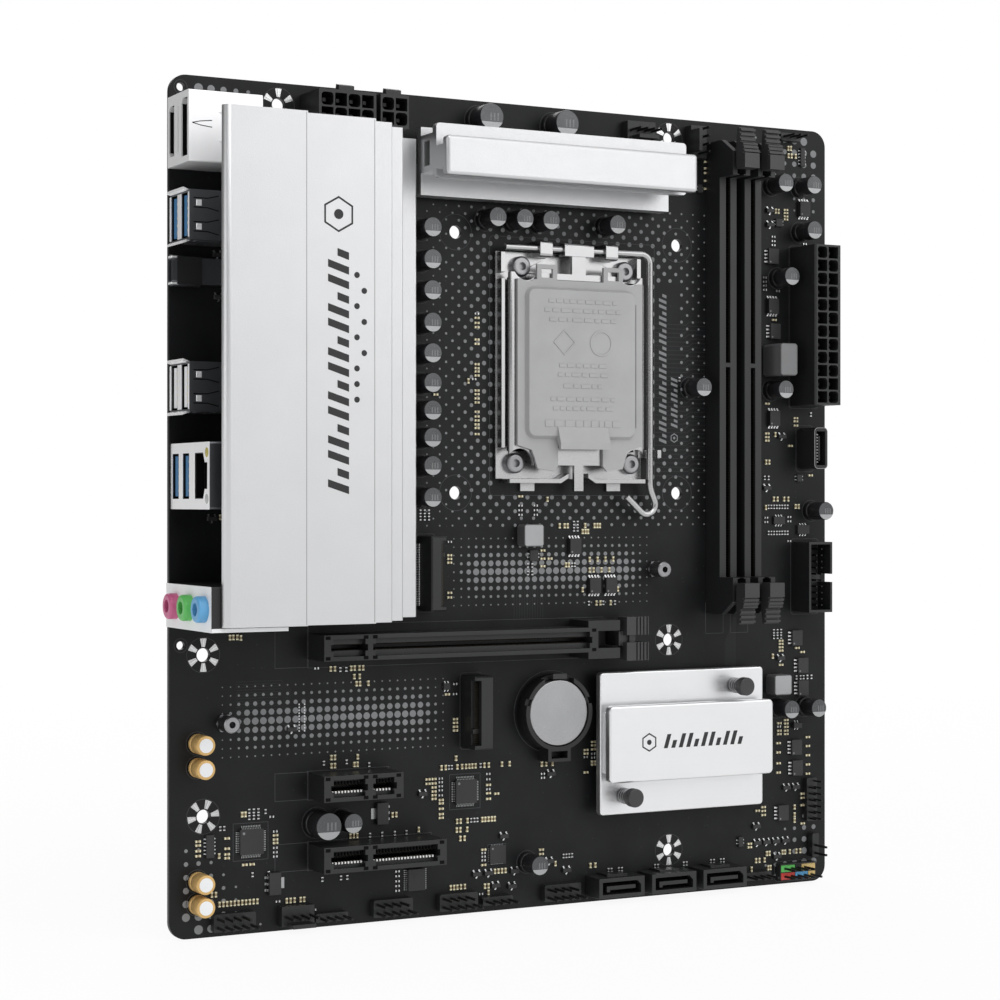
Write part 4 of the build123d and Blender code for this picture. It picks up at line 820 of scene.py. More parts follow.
def can_body(shape, x, z, radius, top):
    """The sleeve of a can: its seal, the crimped neck, and the rolled rim."""
    profile = [(radius - 0.5, 0), (radius - 0.5, 0.35), (radius - 0.08, 0.4), (radius, 0.5), (radius, 1.5)]
    profile += [(radius - 0.22, 1.75), (radius - 0.22, 2.05), (radius, 2.35), (radius, top - 0.4)]
    profile += [(radius - 0.12, top - 0.12), (radius - 0.4, top)]
    shape.column(x, z, profile, 40)


def polymer_cans():
    """The black cans, whose tops carry a light segment on their negative side."""
    shape = Shape()
    chord = math.asin(0.42)
    for places, radius, top in ((SMALL_CANS, 2.9, 8.58), (LARGE_CANS, 3.95, 9.18)):
        disc = radius - 0.14
        for x, z in places:
            can_body(shape, x, z, radius, top)
            for start, sweep, sides, look in (
                (math.pi + chord, math.pi - 2 * chord, 20, 2), (-chord, math.pi + 2 * chord, 28, 1)
            ):
                segment = [polar(x, z, disc, start + sweep * i / sides) for i in range(sides + 1)]
                shape.prism(segment, top - 0.1, top + 0.02, look)
            for low_x in spaced(x - 0.15 * radius, 0.3 * radius, 3):
                tick = (low_x, low_x + 0.13 * radius, z - 0.3 * radius, z + 0.28 * radius)
                shape.prism(rectangle(tick), top, top + 0.03, 3)
    piece = shape.done("polymer_cans", [can_side, can_top, can_mark, can_print], slot="can_aluminium")
    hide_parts("capacitors")


def audio_cans():
    """The gold cans of the audio circuit, with pale tops."""
    shape = Shape()
    for x, z in AUDIO_CANS:
        can_body(shape, x, z, 2.8, 7.42)
        shape.column(x, z, [(2.0, 7.3), (2.0, 7.43), (1.9, 7.47)], 36, 1)
    piece = shape.done("audio_cans", [gold_can, white_plastic], slot="gold_can")
    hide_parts("audio_capacitors")


# ---------------------------------------------------------------- small parts
PART_FINISHES = [solder, ceramic_tan, ceramic_dark, cream_tin]
# A chip part's width, length and height, and which finishes its body and its ends have
CAPACITOR = ((0.6, 1.6, 0.55), (1, 3))
RESISTOR = ((0.6, 1.4, 0.35), (2, 0))
END_SKIN = 0.04  # how far the soldered ends stand proud of the body
TRANSISTOR_HEIGHT = 1.0

# Places of chip capacitors and resistors. In the upright rows a part's long side runs along Z, and a
# row is its Z and then the X of each part. In the level columns it runs along X, and a column is its
# X and then the Z of each part.
UPRIGHT_CAPACITORS = [
    (44.1, (85.2, 86.6, 90.5, 92.1, 93.4, 94.5, 95.5, 96.6, 99.6, 101.1, 105.6, 108.2)),
    (46.7, (90.1,)), (27.8, (90.4, 91.6, 93.9, 98.9, 99.9, 101.0, 102.1, 103.1)),
    (25.2, (90.3, 91.5, 93.8)), (22.6, (91.5, 92.9)), (26.2, (77.7,)), (11.9, (103.2, 104.4, 105.6, 106.8)),
    (8.1, (88.3, 89.4, 90.5, 91.7, 93.0)), (7.7, (99.8, 101.0)), (5.7, (101.0,)), (12.7, (124.1,)),
    (43.4, (119.4, 120.9, 123.1)), (11.2, (136.5, 138.2)), (9.1, [14.9 + 1.15 * i for i in range(11)]),
    (8.5, (35.5, 36.7, 37.9, 39.8, 40.9)), (22.9, (14.8,)), (34.2, (21.8, 22.8)), (49.0, (49.5, 50.6)),
    (46.6, (49.5, 50.6, 56.8, 57.8)), (48.8, (57.9,)), (31.1, (69.1, 70.3)), (25.8, (55.5, 56.6, 57.7)),
    (10.2, (202.0, 203.0, 208.0, 209.0, 210.9, 213.5, 215.0)), (8.2, (197.8, 199.1, 201.1)),
    (5.6, (196.1, 202.5, 203.4)), (24.5, (212.8,)), (22.0, (212.8,)), (20.2, (212.8,)), (121.5, (201.6,)),
    (121.8, (213.2, 214.4)), (73.6, (204.3,)), (116.0, (125.6, 127.3, 128.4, 134.6, 137.9, 138.9, 139.8)),
    (114.2, (133.7, 134.7, 135.6)), (104.0, (127.8, 128.8)), (92.1, (138.6, 140.0, 143.7)),
    (96.3, (133.7, 146.3)), (74.8, (49.3, 50.6, 55.8, 56.9, 58.4, 59.6)), (72.3, (56.8, 58.5)),
    (70.2, (57.5, 58.6, 61.3)), (84.8, (18.1, 19.1, 20.3)), (159.6, (94.2,)), (124.1, (121.3,)),
    (217.0, (205.4, 206.5)), (237.6, (210.3, 211.3)), (235.2, (210.4, 211.6, 213.2)), (145.0, (205.3,)),
    (136.1, (201.7, 202.9)), (124.2, (204.7, 206.1, 208.7, 210.3)), (102.3, (136.2, 137.6, 140.4, 143.2)),
    (105.6, (136.2, 139.0, 141.8, 144.6)), (186.0, (14.2, 15.6, 17.0, 18.4)), (119.0, (15.2, 16.6, 18.0)),
    (84.6, (21.4,)), (12.0, (12.6, 13.8)),
]
LEVEL_CAPACITORS = [
    (89.9, (58.4, 57.3, 56.1, 55.0)), (80.7, (40.9, 39.6)), (82.7, (40.9, 39.6, 38.4, 37.2, 36.1, 35.0)),
    (85.1, (34.5, 33.5, 31.9, 30.3, 29.2)), (101.0, (38.1, 35.6, 33.9)), (103.8, (35.3,)),
    (99.4, (18.7, 14.1)), (119.2, (17.3, 16.0)), (134.9, (46.9, 45.8, 40.0)),
    (137.6, (49.3, 48.2, 47.0, 43.2, 42.3)), (8.5, (27.4, 26.3, 24.7, 23.3)),
    (17.2, (27.7, 24.8, 23.2, 22.1)), (32.0, (27.6, 26.4, 25.4)), (22.6, (19.8,)), (24.8, (19.8,)),
    (195.4, (13.8, 12.7)),
    (200.7, (25.2, 24.0, 22.7)), (198.4, (24.2,)), (206.8, (51.9, 49.5, 48.4)),
    (209.5, (52.8, 51.7, 50.6, 49.4, 48.3)), (206.5, (45.5, 42.5, 39.0, 36.0)),
    (218.0, (46.9, 44.0, 41.0, 38.0, 35.0)), (216.0, (28.6, 27.3, 24.9, 19.0)),
    (207.5, (78.5, 77.5, 76.4, 75.3, 70.7)), (213.9, (76.0,)), (215.9, (74.6,)),
    (87.9, (107.4, 106.3, 105.2, 96.2, 94.8)), (119.7, (108.5, 106.0, 103.7)), (122.2, (106.0,)),
    (87.2, (65.9,)), (83.3, (155.3,)), (112.0, (125.0,)), (209.4, (217.6, 216.6, 215.5, 214.5)),
    (178.9, (231.0, 229.0, 227.5, 225.0, 222.5)), (204.9, (181.9,)), (202.2, (154.9,)),
    (213.3, (150.4, 149.4, 148.0)), (202.1, (145.3, 144.1, 143.0)), (219.1, (131.9,)), (211.2, (141.4,)),
    (97.1, (178.6, 177.1, 175.8, 172.1, 170.8, 164.7, 163.5, 162.5, 161.3)),
    (97.1, (156.8, 155.7, 154.4, 153.2, 150.4, 149.0, 147.8, 146.6, 145.5, 143.7)),
]
UPRIGHT_RESISTORS = [
    (44.1, (87.7, 88.7, 98.4)), (27.8, (95.2, 96.3, 97.3)), (14.8, (127.0, 128.0, 129.0, 130.0)),
    (35.0, (24.0, 25.4, 26.8)), (33.2, (24.0, 25.4, 26.8)), (30.6, (15.2, 16.4)), (34.6, (29.0,)),
    (47.5, (47.2, 54.4)), (46.3, (61.6,)), (25.6, (61.9, 65.8, 69.9, 73.7)), (13.8, (46.7, 52.6, 54.6)),
    (9.2, (143.0, 144.1, 146.7, 147.8, 159.9, 161.0, 170.5, 171.6, 180.7, 181.8, 184.4, 185.5)),
    (121.7, [202.7 + 1.06 * i for i in range(8)]), (113.3, [202.7 + 1.06 * i for i in range(8)]),
    (81.6, (204.8, 206.2, 207.6)), (79.8, (204.8, 206.2, 207.6)), (66.4, (213.6, 215.2, 216.4, 217.9, 219.5)),
    (120.4, (78.3, 79.7, 81.1)), (118.5, (78.3, 79.7, 81.1)), (104.0, (114.6, 116.1, 130.0, 131.0)),
    (101.7, (114.6, 116.1)), (116.8, (130.7, 132.0)), (114.9, (130.7, 132.0)), (92.1, (136.0, 141.1, 145.3)),
    (74.5, (52.4, 54.3)), (161.9, (168.9,)), (131.0, (201.2, 202.7)), (151.7, (219.3,)), (16.8, (25.0, 30.0)),
]
LEVEL_RESISTORS = [
    (85.0, (40.9, 39.8, 38.6, 37.4, 35.9)), (101.0, (41.4, 39.8, 36.8)), (99.4, (17.7, 16.6, 15.5)),
    (98.5, (5.4,)), (119.8, (40.4, 39.2)), (134.9, (44.7,)), (137.6, (45.6, 44.4)), (32.8, (8.5,)),
    (44.0, (5.2,)), (32.0, (28.7, 24.0, 22.7, 21.5)), (30.9, (33.0,)),
    (70.8, (14.3, 12.9, 11.4, 10.0, 8.6)), (206.8, (50.8,)), (201.8, (118.2, 116.8)),
    (210.8, (118.4, 117.0, 110.6)), (88.0, (111.4,)), (112.0, (122.2, 120.8, 119.4)),
    (117.3, (122.2, 120.8, 119.4)), (89.9, (68.9,)), (89.8, (65.9,)), (44.9, (75.1,)), (97.1, (179.9,)),
    (96.2, (160.2,)), (204.6, (208.7, 207.3, 206.0)), (216.9, (207.0,)), (206.4, (191.3,)),
    (201.3, (195.4, 194.1, 192.8, 191.5)),
]
TRANSISTORS = [(79.0, 36.7), (106.2, 22.3), (97.0, 11.5), (101.0, 11.5), (109.9, 11.5), (103.4, 7.6)]
TRANSISTORS += [(109.0, 7.0), (122.5, 40.3), (128.0, 10.4), (121.9, 13.6), (37.0, 57.8), (198.2, 13.9)]
TRANSISTORS += [(201.8, 13.9), (205.4, 13.9), (209.2, 13.9), (205.9, 9.0), (197.9, 19.2), (209.6, 31.0)]
TRANSISTORS += [(213.2, 31.0), (14.2, 193.4), (17.6, 189.6), (14.6, 181.4), (17.6, 174.2), (12.6, 118.6)]
TRANSISTORS += [(207.3, 72.9), (203.2, 217.0), (203.2, 212.5), (207.8, 144.4), (202.0, 127.8)]
# The smaller chips' X, Z, width, depth and height
SMALL_CHIPS = [(12.0, 25.8, 2.4, 6.6, 1.0), (206.6, 117.3, 4.3, 2.6, 0.9), (216.0, 114.3, 4.6, 3.0, 1.0)]
SMALL_CHIPS += [(116.5, 107.0, 3.0, 3.4, 0.9), (86.9, 68.3, 2.2, 2.0, 0.9), (191.8, 14.7, 1.8, 3.2, 0.9)]
SMALL_CHIPS += [(206.6, 213.3, 2.6, 2.6, 0.9), (215.8, 235.0, 1.7, 6.0, 0.9), (176.4, 222.4, 1.6, 2.6, 0.9)]
SMALL_CHIPS += [(214.6, 131.0, 2.0, 2.4, 0.9), (213.5, 51.0, 3.2, 1.8, 1.4)]
# The CAD's eight-lead chips, with their leads above and below or at both sides
END_LEADED = [(130.7, 109.7), (137.7, 97.5), (143.5, 97.5), (216.3, 218.2), (204.0, 186.3), (204.5, 150.2)]
SIDE_LEADED = [(204.0, 202.3), (204.7, 178.2), (213.2, 79.3), (215.5, 70.3), (215.6, 63.0), (213.0, 43.9)]
SIDE_LEADED += [(213.3, 37.2), (207.8, 23.0)]
AUDIO_CHIP, CONTROL_CHIP, THIN_CHIP, LONG_CHIP = (24.5, 26.3), (93.2, 36.6), (104.0, 17.0), (76.6, 11.5)
SIDEWAYS, ENDWAYS = ((1, 0), (-1, 0)), ((0, 1), (0, -1))


def two_terminal(shape, x, z, upright, kind, face_n=0.0, way=1):
    """A chip capacitor or resistor between its two soldered ends."""
    (width, length, height), (body, ends) = kind
    sections = ((-0.5, -0.22, ends, END_SKIN), (-0.22, 0.22, body, 0), (0.22, 0.5, ends, END_SKIN))
    for low, high, look, grow in sections:
        half = width / 2 + grow
        if upright:
            sides = (x - half, x + half, z + low * length, z + high * length)
        else:
            sides = (x + low * length, x + high * length, z - half, z + half)
        shape.slab(sides, face_n, face_n + way * (height + grow), 0.07, 0, look)


def leads(shape, x, z, half, way, count, pitch, width=0.4, rise=0.7, reach=0.95, look=0):
    """A row of bent leads that leave one side of a package."""
    for number in range(count):
        offset = (number - (count - 1) / 2) * pitch
        start = (x + way[0] * half + abs(way[1]) * offset, z + way[1] * half + abs(way[0]) * offset)
        path = [(-0.15, rise), (0.3 * reach, rise), (0.5 * reach, 0.08), (reach, 0.08)]
        shape.strip(start, way, path, width, 0.14, look)


def ceramic_parts():
    """The chip capacitors and resistors of the component side."""
    shape = Shape()
    for upright_rows, level_columns, kind in (
        (UPRIGHT_CAPACITORS, LEVEL_CAPACITORS, CAPACITOR), (UPRIGHT_RESISTORS, LEVEL_RESISTORS, RESISTOR)
    ):
        for z, places in upright_rows:
            for x in places:
                two_terminal(shape, x, z, True, kind)
        for x, places in level_columns:
            for z in places:
                two_terminal(shape, x, z, False, kind)
    shape.done("ceramic_parts", PART_FINISHES, slot="nickel")


def small_packages():
    """Three-lead transistors and the smaller chips."""
    shape = Shape()
    for x, z in TRANSISTORS:
        shape.slab(around(x, z, 1.45, 0.65), 0.05, TRANSISTOR_HEIGHT, 0.12, 0, 1)
        leads(shape, x, z, 0.65, (0, 1), 2, 1.9, 0.5, 0.5, 0.65)
        leads(shape, x, z, 0.65, (0, -1), 1, 1.9, 0.5, 0.5, 0.65)
    for x, z, width, depth, height in SMALL_CHIPS:
        shape.slab(around(x, z, width / 2, depth / 2), 0.05, height, 0.12, 0, 1)
        ways, half, row = (SIDEWAYS, width / 2, depth) if depth >= width else (ENDWAYS, depth / 2, width)
        count = max(2, int((row - 0.4) / 1.05))
        for way in ways:
            leads(shape, x, z, half, way, count, 1.05, 0.36, 0.4, 0.55)
    shape.done("small_packages", [solder, chip_epoxy], slot="chip_plastic")


def chip_leads():
    """The leads of the CAD's chips, and the dots at their first leads."""
    shape, marks = Shape(), Shape()
    for x, z in END_LEADED:
        for way in ENDWAYS:
            leads(shape, x, z, 2.45, way, 4, 1.05, 0.52, 0.5, 0.8, 1)
        marks.prism(circle(x - 1.3, z - 1.7, 0.28, 12), 1.5, 1.52)
    for x, z in SIDE_LEADED:
        for way in SIDEWAYS:
            leads(shape, x, z, 1.95, way, 4, 1.15, 0.52, 0.5, 0.8, 1)
        marks.prism(circle(x - 1.3, z - 1.8, 0.28, 12), 1.5, 1.52)
    for (x, z), half in ((AUDIO_CHIP, 3.6), (CONTROL_CHIP, 3.5)):
        for way in SIDEWAYS + ENDWAYS:
            leads(shape, x, z, half, way, 12, 0.5, 0.2, 0.5, 1.0)
        marks.prism(circle(x - 2.5, z + 2.5, 0.4, 16), 1.2, 1.22)
    for way in SIDEWAYS:
        leads(shape, *LONG_CHIP, 2.8, way, 11, 0.57, 0.26, 0.6, 0.9)
    for way in SIDEWAYS + ENDWAYS:
        leads(shape, *THIN_CHIP, 2.7, way, 8, 0.55, 0.25, 0.16, 0.3)
    for x, z, way in ((31.5, 13.8, -1), (65.5, 31.8, 1)):
        leads(shape, x, z, 1.8, (way, 0), 3, 1.8, 0.7)
        tab_low, tab_high = sorted((x - way * 1.7, x - way * 3.3))
        shape.slab((tab_low, tab_high, z - 1.6, z + 1.6), 0, 0.25, 0.05)
    marks.prism(circle(102.2, 18.8, 0.3, 12), 0.9, 0.92)
    shape.done("chip_leads", [lead_tin, white_metal], slot="nickel")
    marks.done("chip_dots", [silkscreen], slot="chip_plastic")


def board_traces():
    """Etched lines and vias that show faintly under the solder mask, on both faces."""
    shape = Shape()
    for number, z in enumerate(spaced(131.5, 1.36, 36)):
        bend = 171.5 + 0.9 * math.sin(number * 0.9)
        shape.route([(158.6, z), (bend, z), (bend + 1.6, z + 1.1), (178.6, z + 1.1)], 0.22, 0, TRACE)
    for number, x in enumerate(spaced(186.2, 0.3, 14)):
        shape.line((x, 60.0), (x, 79.0 + number * 0.7), 0.14, 0, TRACE)
    for x in spaced(110.0, 0.9, 12):
        shape.route([(x, 88.0), (x, 98.0), (x + 5.0, 103.0)], 0.16, 0, TRACE)
    for z in spaced(60.0, 0.8, 16):
        shape.route([(20.0, z), (34.0, z), (37.0, z - 3.0)], 0.14, 0, TRACE)
    for number, z in enumerate(spaced(110.0, 2.6, 40)):
        shape.line((174.5, z), (200.0 - 9.4 * (number % 2), z), 0.3, REAR, REAR - TRACE)
    for x in spaced(44.0, 3.4, 26):
        shape.route([(x, 26.0), (x, 70.0), (x + 9.0, 79.0)], 0.3, REAR, REAR - TRACE)
    for _ in range(420):
        x, z = draw.uniform(8, 220), draw.uniform(6, 236)
        if not near(x, z, CASE_HOLES + COOLER_HOLES, 6):
            shape.prism(circle(x, z, 0.22, 8), 0, VIA)
            shape.prism(circle(x, z, 0.3, 8), REAR, REAR - VIA)
    shape.done("board_traces", [trace_green_black], slot="board")


def inductor_tops():
    """Pale pressed tops on the coils that stand in the open."""
    shape = Shape()
    coils = [(114.4, 113.2, 6.7, 6.7, 4.6, 0), (205.2, 64.6, 6.6, 6.4, 5.0, 0)]
    coils.append((204.0, 168.7, 6.4, 10.2, 9.9, 1))
    for x, z, width, depth, height, look in coils:
        sides = around(x, z, width / 2 - 0.25, depth / 2 - 0.25)
        shape.slab(sides, height - 0.1, height + 0.06, 0.05, 0.4, look)
    shape.done("inductor_tops", [coil_pale, coil_grey], slot="ferrite")


# ---------------------------------------------------------------- sockets, slots and headers
def socket_fingers():
    """The processor socket's field of bent contacts, with the bare middle."""
    shape = Shape()
    middle_x, middle_z, _ = mount_place("processor_seat")
    bed, pitch = 1.9, 1.05
    outer = rectangle(around(middle_x, middle_z, 17.5, 21.2))
    inner = rectangle(around(middle_x, middle_z, 6.8, 8.8))
    shape.hoop(outer, inner, bed, bed + 0.08, 1)
    for column in range(33):
        for row in range(40):
            x, z = middle_x + (column - 16) * pitch, middle_z + (row - 19.5) * pitch
            if abs(x - middle_x) < 7.2 and abs(z - middle_z) < 9.2:
                continue
            foot = [(u, v, bed + 0.05) for u, v in rectangle((x - 0.3, x + 0.1, z - 0.2, z + 0.2))]
            tip = [(x + 0.2, z - 0.12, bed + 0.3), (x + 0.4, z - 0.12, bed + 0.27)]
            tip += [(x + 0.4, z + 0.12, bed + 0.27), (x + 0.2, z + 0.12, bed + 0.3)]
            shape.loft([foot, tip])
    piece = shape.done("socket_fingers", [gold, black_plastic], slot="gold")
    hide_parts("socket_contacts")


LATCH_ROOM = 11.0  # at each end of a memory slot, where the latches' feet swing in
CARD_SLOT_ENDS = (8.6, 1.0, 1.0)  # how far before its high X each card slot's contacts stop


def memory_slot_contacts(shape):
    """Spring contacts along both walls of the memory slots, on each side of the key."""
    pitch, key_z = 0.85, 166.4
    for node in MEMORY_SLOTS:
        low_z, high_z = extent(node)[2:4]
        middle = middle_of(node)[0]
        for z in spaced(low_z + LATCH_ROOM, pitch, int((high_z - low_z - 2 * LATCH_ROOM) / pitch)):
            if abs(z - key_z) < 1.4:
                continue
            for side in (-1, 1):
                near_x, far_x = sorted((middle + side * 0.55, middle + side * 0.85))
                shape.slab((near_x, far_x, z - 0.2, z + 0.2), 3.5, 7.4, 0.06)


def card_slot_contacts(shape):
    """Spring contacts along both walls of the card slots, whose tips show in the two open ones: pale as a
    painted highlight in the row below the middle, black as painted shade in the row above.
    """
    for node, end_room in zip(CARD_SLOTS, CARD_SLOT_ENDS):
        low_x, high_x = extent(node)[:2]
        middle, key_x = middle_of(node)[1], low_x + 14.5
        for x in spaced(low_x + 3.4, 1.0, int(high_x - end_room - low_x - 5)):
            if abs(x - key_x) < 1.6:
                continue
            for start_z, end_z in ((-0.95, -0.6), (0.6, 0.95)):
                shape.slab((x - 0.22, x + 0.22, middle + start_z, middle + end_z), 3.4, 8.6, 0.06)
            if node != "pcie_x16_slot":
                # tips below the middle painted pale as a highlight, tips above painted black as shade
                shape.slab((x - 0.24, x + 0.24, middle - 1.5, middle - 0.85), 8.8, 9.5, 0.08, 0, 1)
                shape.slab((x - 0.24, x + 0.24, middle + 0.9, middle + 1.9), 8.8, 9.6, 0.08, 0, 2)


def slot_contacts():
    """The contacts of the memory and card slots, and the windows in the card slots' rims, filled with painted
    shade.
    """
    shape, window_shade = Shape(), Shape()
    memory_slot_contacts(shape)
    card_slot_contacts(shape)
    shape.done("slot_contacts", [contact_dark, painted_tip_highlight, painted_shade_black], slot="gold")

    # black patches of painted shade over the rims' windows
    for node, end_room in zip(CARD_SLOTS, CARD_SLOT_ENDS):
        low_x, high_x, _, _, _, top = extent(node)
        middle = middle_of(node)[1]
        for x in (low_x + 1.2, low_x + 13.1, low_x + 16.0, high_x - end_room - 0.6):
            for side in (-1, 1):
                window_shade.slab(around(x, middle + side * 2.95, 0.75, 0.5), top - 0.05, top + 0.02, 0.01)
    window_shade.done("slot_window_shade", [painted_shade_black], slot="slot_plastic")


def m2_contacts():
    """Contacts in the M.2 connectors' mouths, and the solder tails behind them."""
    shape = Shape()
    tail_path = [(-0.1, 1.2), (0.2, 1.1), (0.45, 0.07), (1.1, 0.07)]
    for node, mouth in (("m2_connector_lower", -1), ("m2_connector_upper", 1)):
        low_x, high_x, low_z, high_z, _, top = extent(node)
        mouth_x, tail_x = (low_x, high_x) if mouth < 0 else (high_x, low_x)
        near_x, far_x = sorted((mouth_x - mouth * 0.3, mouth_x - mouth * 2.6))
        for z in spaced(low_z + 1.6, 0.5, int((high_z - low_z - 3) / 0.5)):
            shape.slab((near_x, far_x, z - 0.11, z + 0.11), top - 1.75, top - 1.55, 0.04, 0, 1)
            shape.strip((tail_x, z), (-mouth, 0), tail_path, 0.22, 0.12)
    shape.done("m2_contacts", [solder, contact_dark], slot="gold")


def sata_contacts():
    """Seven contacts on each SATA tongue."""
    shape = Shape()
    low_x, _, low_z = extent("sata_ports")[:3]
    for port_x in (low_x, low_x + 18.9, low_x + 37.7):
        for x in spaced(port_x + 4.9, 1.27, 7):
            shape.slab((x - 0.35, x + 0.35, low_z + 2.28, low_z + 2.5), 2.2, 7.2, 0.08)
    shape.done("sata_contacts", [gold], slot="gold")


def usb_c_header_rim():
    """The metal rim and the contacts of the front USB-C header."""
    rim = Shape()
    *sides, _, top = extent("front_usb_c_header")
    low_x, _, low_z, _ = sides
    outer, inner = rectangle(grown(sides, -0.05), 1.35), rectangle(grown(sides, -0.2), 1.2)
    rim.hoop(outer, inner, top - 0.2, top + 0.05)
    for z in spaced(low_z + 2.2, 0.98, 10):
        rim.slab((low_x + 1.0, low_x + 1.9, z - 0.2, z + 0.2), top - 1.6, top - 0.6, 0.06)
    rim.done("front_usb_c_rim", [spring_steel], slot="nickel")


def header_colours():
    """The front panel header's coloured plates: green, black and tan above, red, blue and tan below."""
    shape = Shape()
    middle_x, middle_z = middle_of("front_panel_header")
    rows = [(1, ((-6.6, -1.3, 0), (-1.1, 1.1, 3), (1.3, 6.6, 2)))]
    rows.append((-1, ((-6.6, -1.3, 1), (-1.1, 3.7, 4), (3.9, 6.6, 2))))
    for way, plates in rows:
        near_z, far_z = sorted((middle_z + way * 0.15, middle_z + way * 2.4))
        for low, high, look in plates:
            shape.slab((middle_x + low, middle_x + high, near_z, far_z), 2.4, 2.72, 0.06, 0, look)
    shape.done("header_colours", [green, red, tan, black_plastic, blue], slot="colour_plastic")


# ---------------------------------------------------------------- rear ports
USB_UPPER_Z, USB_LOWER_Z, LAN_Z, DISPLAY_Z, AUDIO_Z = 202.55, 155.2, 130.5, 226.9, 94.45
USB_OPENINGS = (1.4, 9.7)  # where each of a stack's two openings starts, along N
USB_OPENING_HEIGHT, USB_OPENING_HALF = 5.1, 6.25
USB_SHELL_TOP, DISPLAY_TOP = 15.8, 16.95

# The LAN stack's face round its openings, in white metal as a painted bright reflection: low Z, high Z, low
# N, high N
LAN_FACE_PARTS = [(121.35, 124.2, 0.05, 30.4), (136.8, 139.65, 0.05, 30.4), (124.2, 136.8, 0.05, 1.35)]
LAN_FACE_PARTS += [(124.2, 136.8, 6.55, 9.65), (124.2, 136.8, 14.85, 19.15)]


def port_tongues():
    """The plastic tongues inside the ports, and the contacts on them."""
    tongues, contacts = Shape(), Shape()
    for start_x, z, look in ((0.7, USB_UPPER_Z, 0), (0.7, USB_LOWER_Z, 1), (1.1, LAN_Z, 0)):
        for opening_n in USB_OPENINGS:
            low_n = opening_n + 0.8
            top = low_n + 1.9
            tongues.slab((start_x, start_x + 10.0, z - 5.6, z + 5.6), low_n, top, 0.15, 0, look)
            for at in spaced(z - 3.5, 2.33, 4):
                contacts.slab((start_x + 0.4, start_x + 8.0, at - 0.45, at + 0.45), top, top + 0.12, 0.05)
            for at in spaced(z - 4.0, 2.0, 5):
                contacts.slab((start_x + 0.2, start_x + 1.6, at - 0.3, at + 0.3), top, top + 0.16, 0.05)
    tongues.slab((0.4, 10.0, 221.7, 232.1), 2.5, 3.7, 0.12, 0, 2)
    tongues.slab((0.4, 10.0, 220.6, 233.0), 13.0, 14.2, 0.12, 0, 2)
    tongues.slab((1.0, 6.9, 185.0, 191.6), 1.3, 2.0, 0.1, 0, 2)
    for number in range(9):
        for start_z, step_z, n in ((222.6, 1.04, 2.5), (221.8, 1.16, 13.0)):
            low_z = start_z + step_z * number
            contacts.slab((0.5, 8.0, low_z, low_z + 0.4), n, n - 0.08, 0.02)
    for at in spaced(LAN_Z - 3.56, 1.02, 8):
        contacts.slab((1.0, 6.0, at - 0.22, at + 0.22), 28.0, 28.6, 0.08)
    piece = tongues.done("port_tongue_set", [usb_blue, white_plastic, black_plastic], slot="black_plastic")
    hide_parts("port_tongues")
    contacts.done("port_contacts", [gold], slot="gold")


def port_springs():
    """The spring tabs stamped in the ports' shells, and the slits beside them drawn as black lines of painted
    shade.
    """
    tabs = Shape()
    top = USB_SHELL_TOP
    slit_low, slit_high = top - 0.05, top + 0.02
    for middle_z in (USB_UPPER_Z, USB_LOWER_Z):
        for z in (middle_z - 3.3, middle_z + 3.3):
            tabs.slab((2.2, 3.8, z - 0.85, z + 0.85), top - 0.05, top + 0.14, 0.1, 0, 2)
            for side in (-1, 1):
                bend = z + side * 1.3
                # slit lines in painted shade black
                tabs.line((1.4, bend), (5.6, bend), 0.3, slit_low, slit_high, 1)
                tabs.line((5.5, bend), (8.8, z + side * 2.1), 0.3, slit_low, slit_high, 1)
    top = DISPLAY_TOP
    for z in (223.0, 231.0):
        tabs.slab((8.4, 12.5, z - 0.45, z + 0.45), top, top + 0.17, 0.1, 0.4, 2)
    # the fork of slit lines on the display connector, in painted shade black
    fork_z = 227.6
    for side in (-1, 1):
        bend = (3.0, fork_z + side * 0.55)
        tabs.line((0.6, fork_z), bend, 0.25, top, top + 0.07, 1)
        tabs.line(bend, (6.4, fork_z + side * 0.95), 0.25, top, top + 0.07, 1)
    for low_n in (2.7, 11.0):
        for shell_z in (USB_UPPER_Z - 6.9, USB_LOWER_Z - 6.9):
            for low_x in (3.0, 8.6):
                sides = (low_x, low_x + 4.0, shell_z - 0.15, shell_z + 0.05)
                tabs.slab(sides, low_n, low_n + 2.4, 0.05)
    tabs.done("port_springs", [dark_nickel, painted_shade_black, white_metal], slot="nickel")


def port_lamps():
    """The two lamps of the network jack."""
    lamps = Shape()
    for lamp_z, look in ((136.8, 0), (124.2, 1)):
        lamps.column(lamp_z, 28.5, [(1.42, 0.7), (1.42, 0.5), (0.9, 0.35)], 28, look, "x")
    piece = lamps.done("port_lamp_pair", [yellow, clear_grey], slot="lamp_plastic")
    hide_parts("port_lamps")


def port_shade_linings():
    """Black sheets of painted shade that line the ports' openings."""
    shade_linings = Shape()
    for low_z, high_z, low_n, high_n in (
        (219.8, 234.0, 0.9, 5.3), (218.8, 234.9, 11.0, 15.8), (220.5, 233.3, 8.1, 8.7)
    ):
        shade_linings.shade_lining(0.0, 9.0, low_z, high_z, low_n, high_n)
    for shell_x, middle_z in ((0.5, USB_UPPER_Z), (0.5, USB_LOWER_Z), (0.9, LAN_Z)):
        low_z, high_z = middle_z - USB_OPENING_HALF, middle_z + USB_OPENING_HALF
        for low_n in USB_OPENINGS:
            shade_linings.shade_lining(shell_x, 10.5, low_z, high_z, low_n, low_n + USB_OPENING_HEIGHT)
    shade_linings.shade_lining(0.9, 13.5, 124.4, 136.6, 19.2, 25.8)
    shade_linings.shade_lining(0.9, 13.5, 126.9, 134.1, 25.6, 28.9)
    shade_linings.done("port_shade_linings", [painted_shade_black], slot="black_plastic")


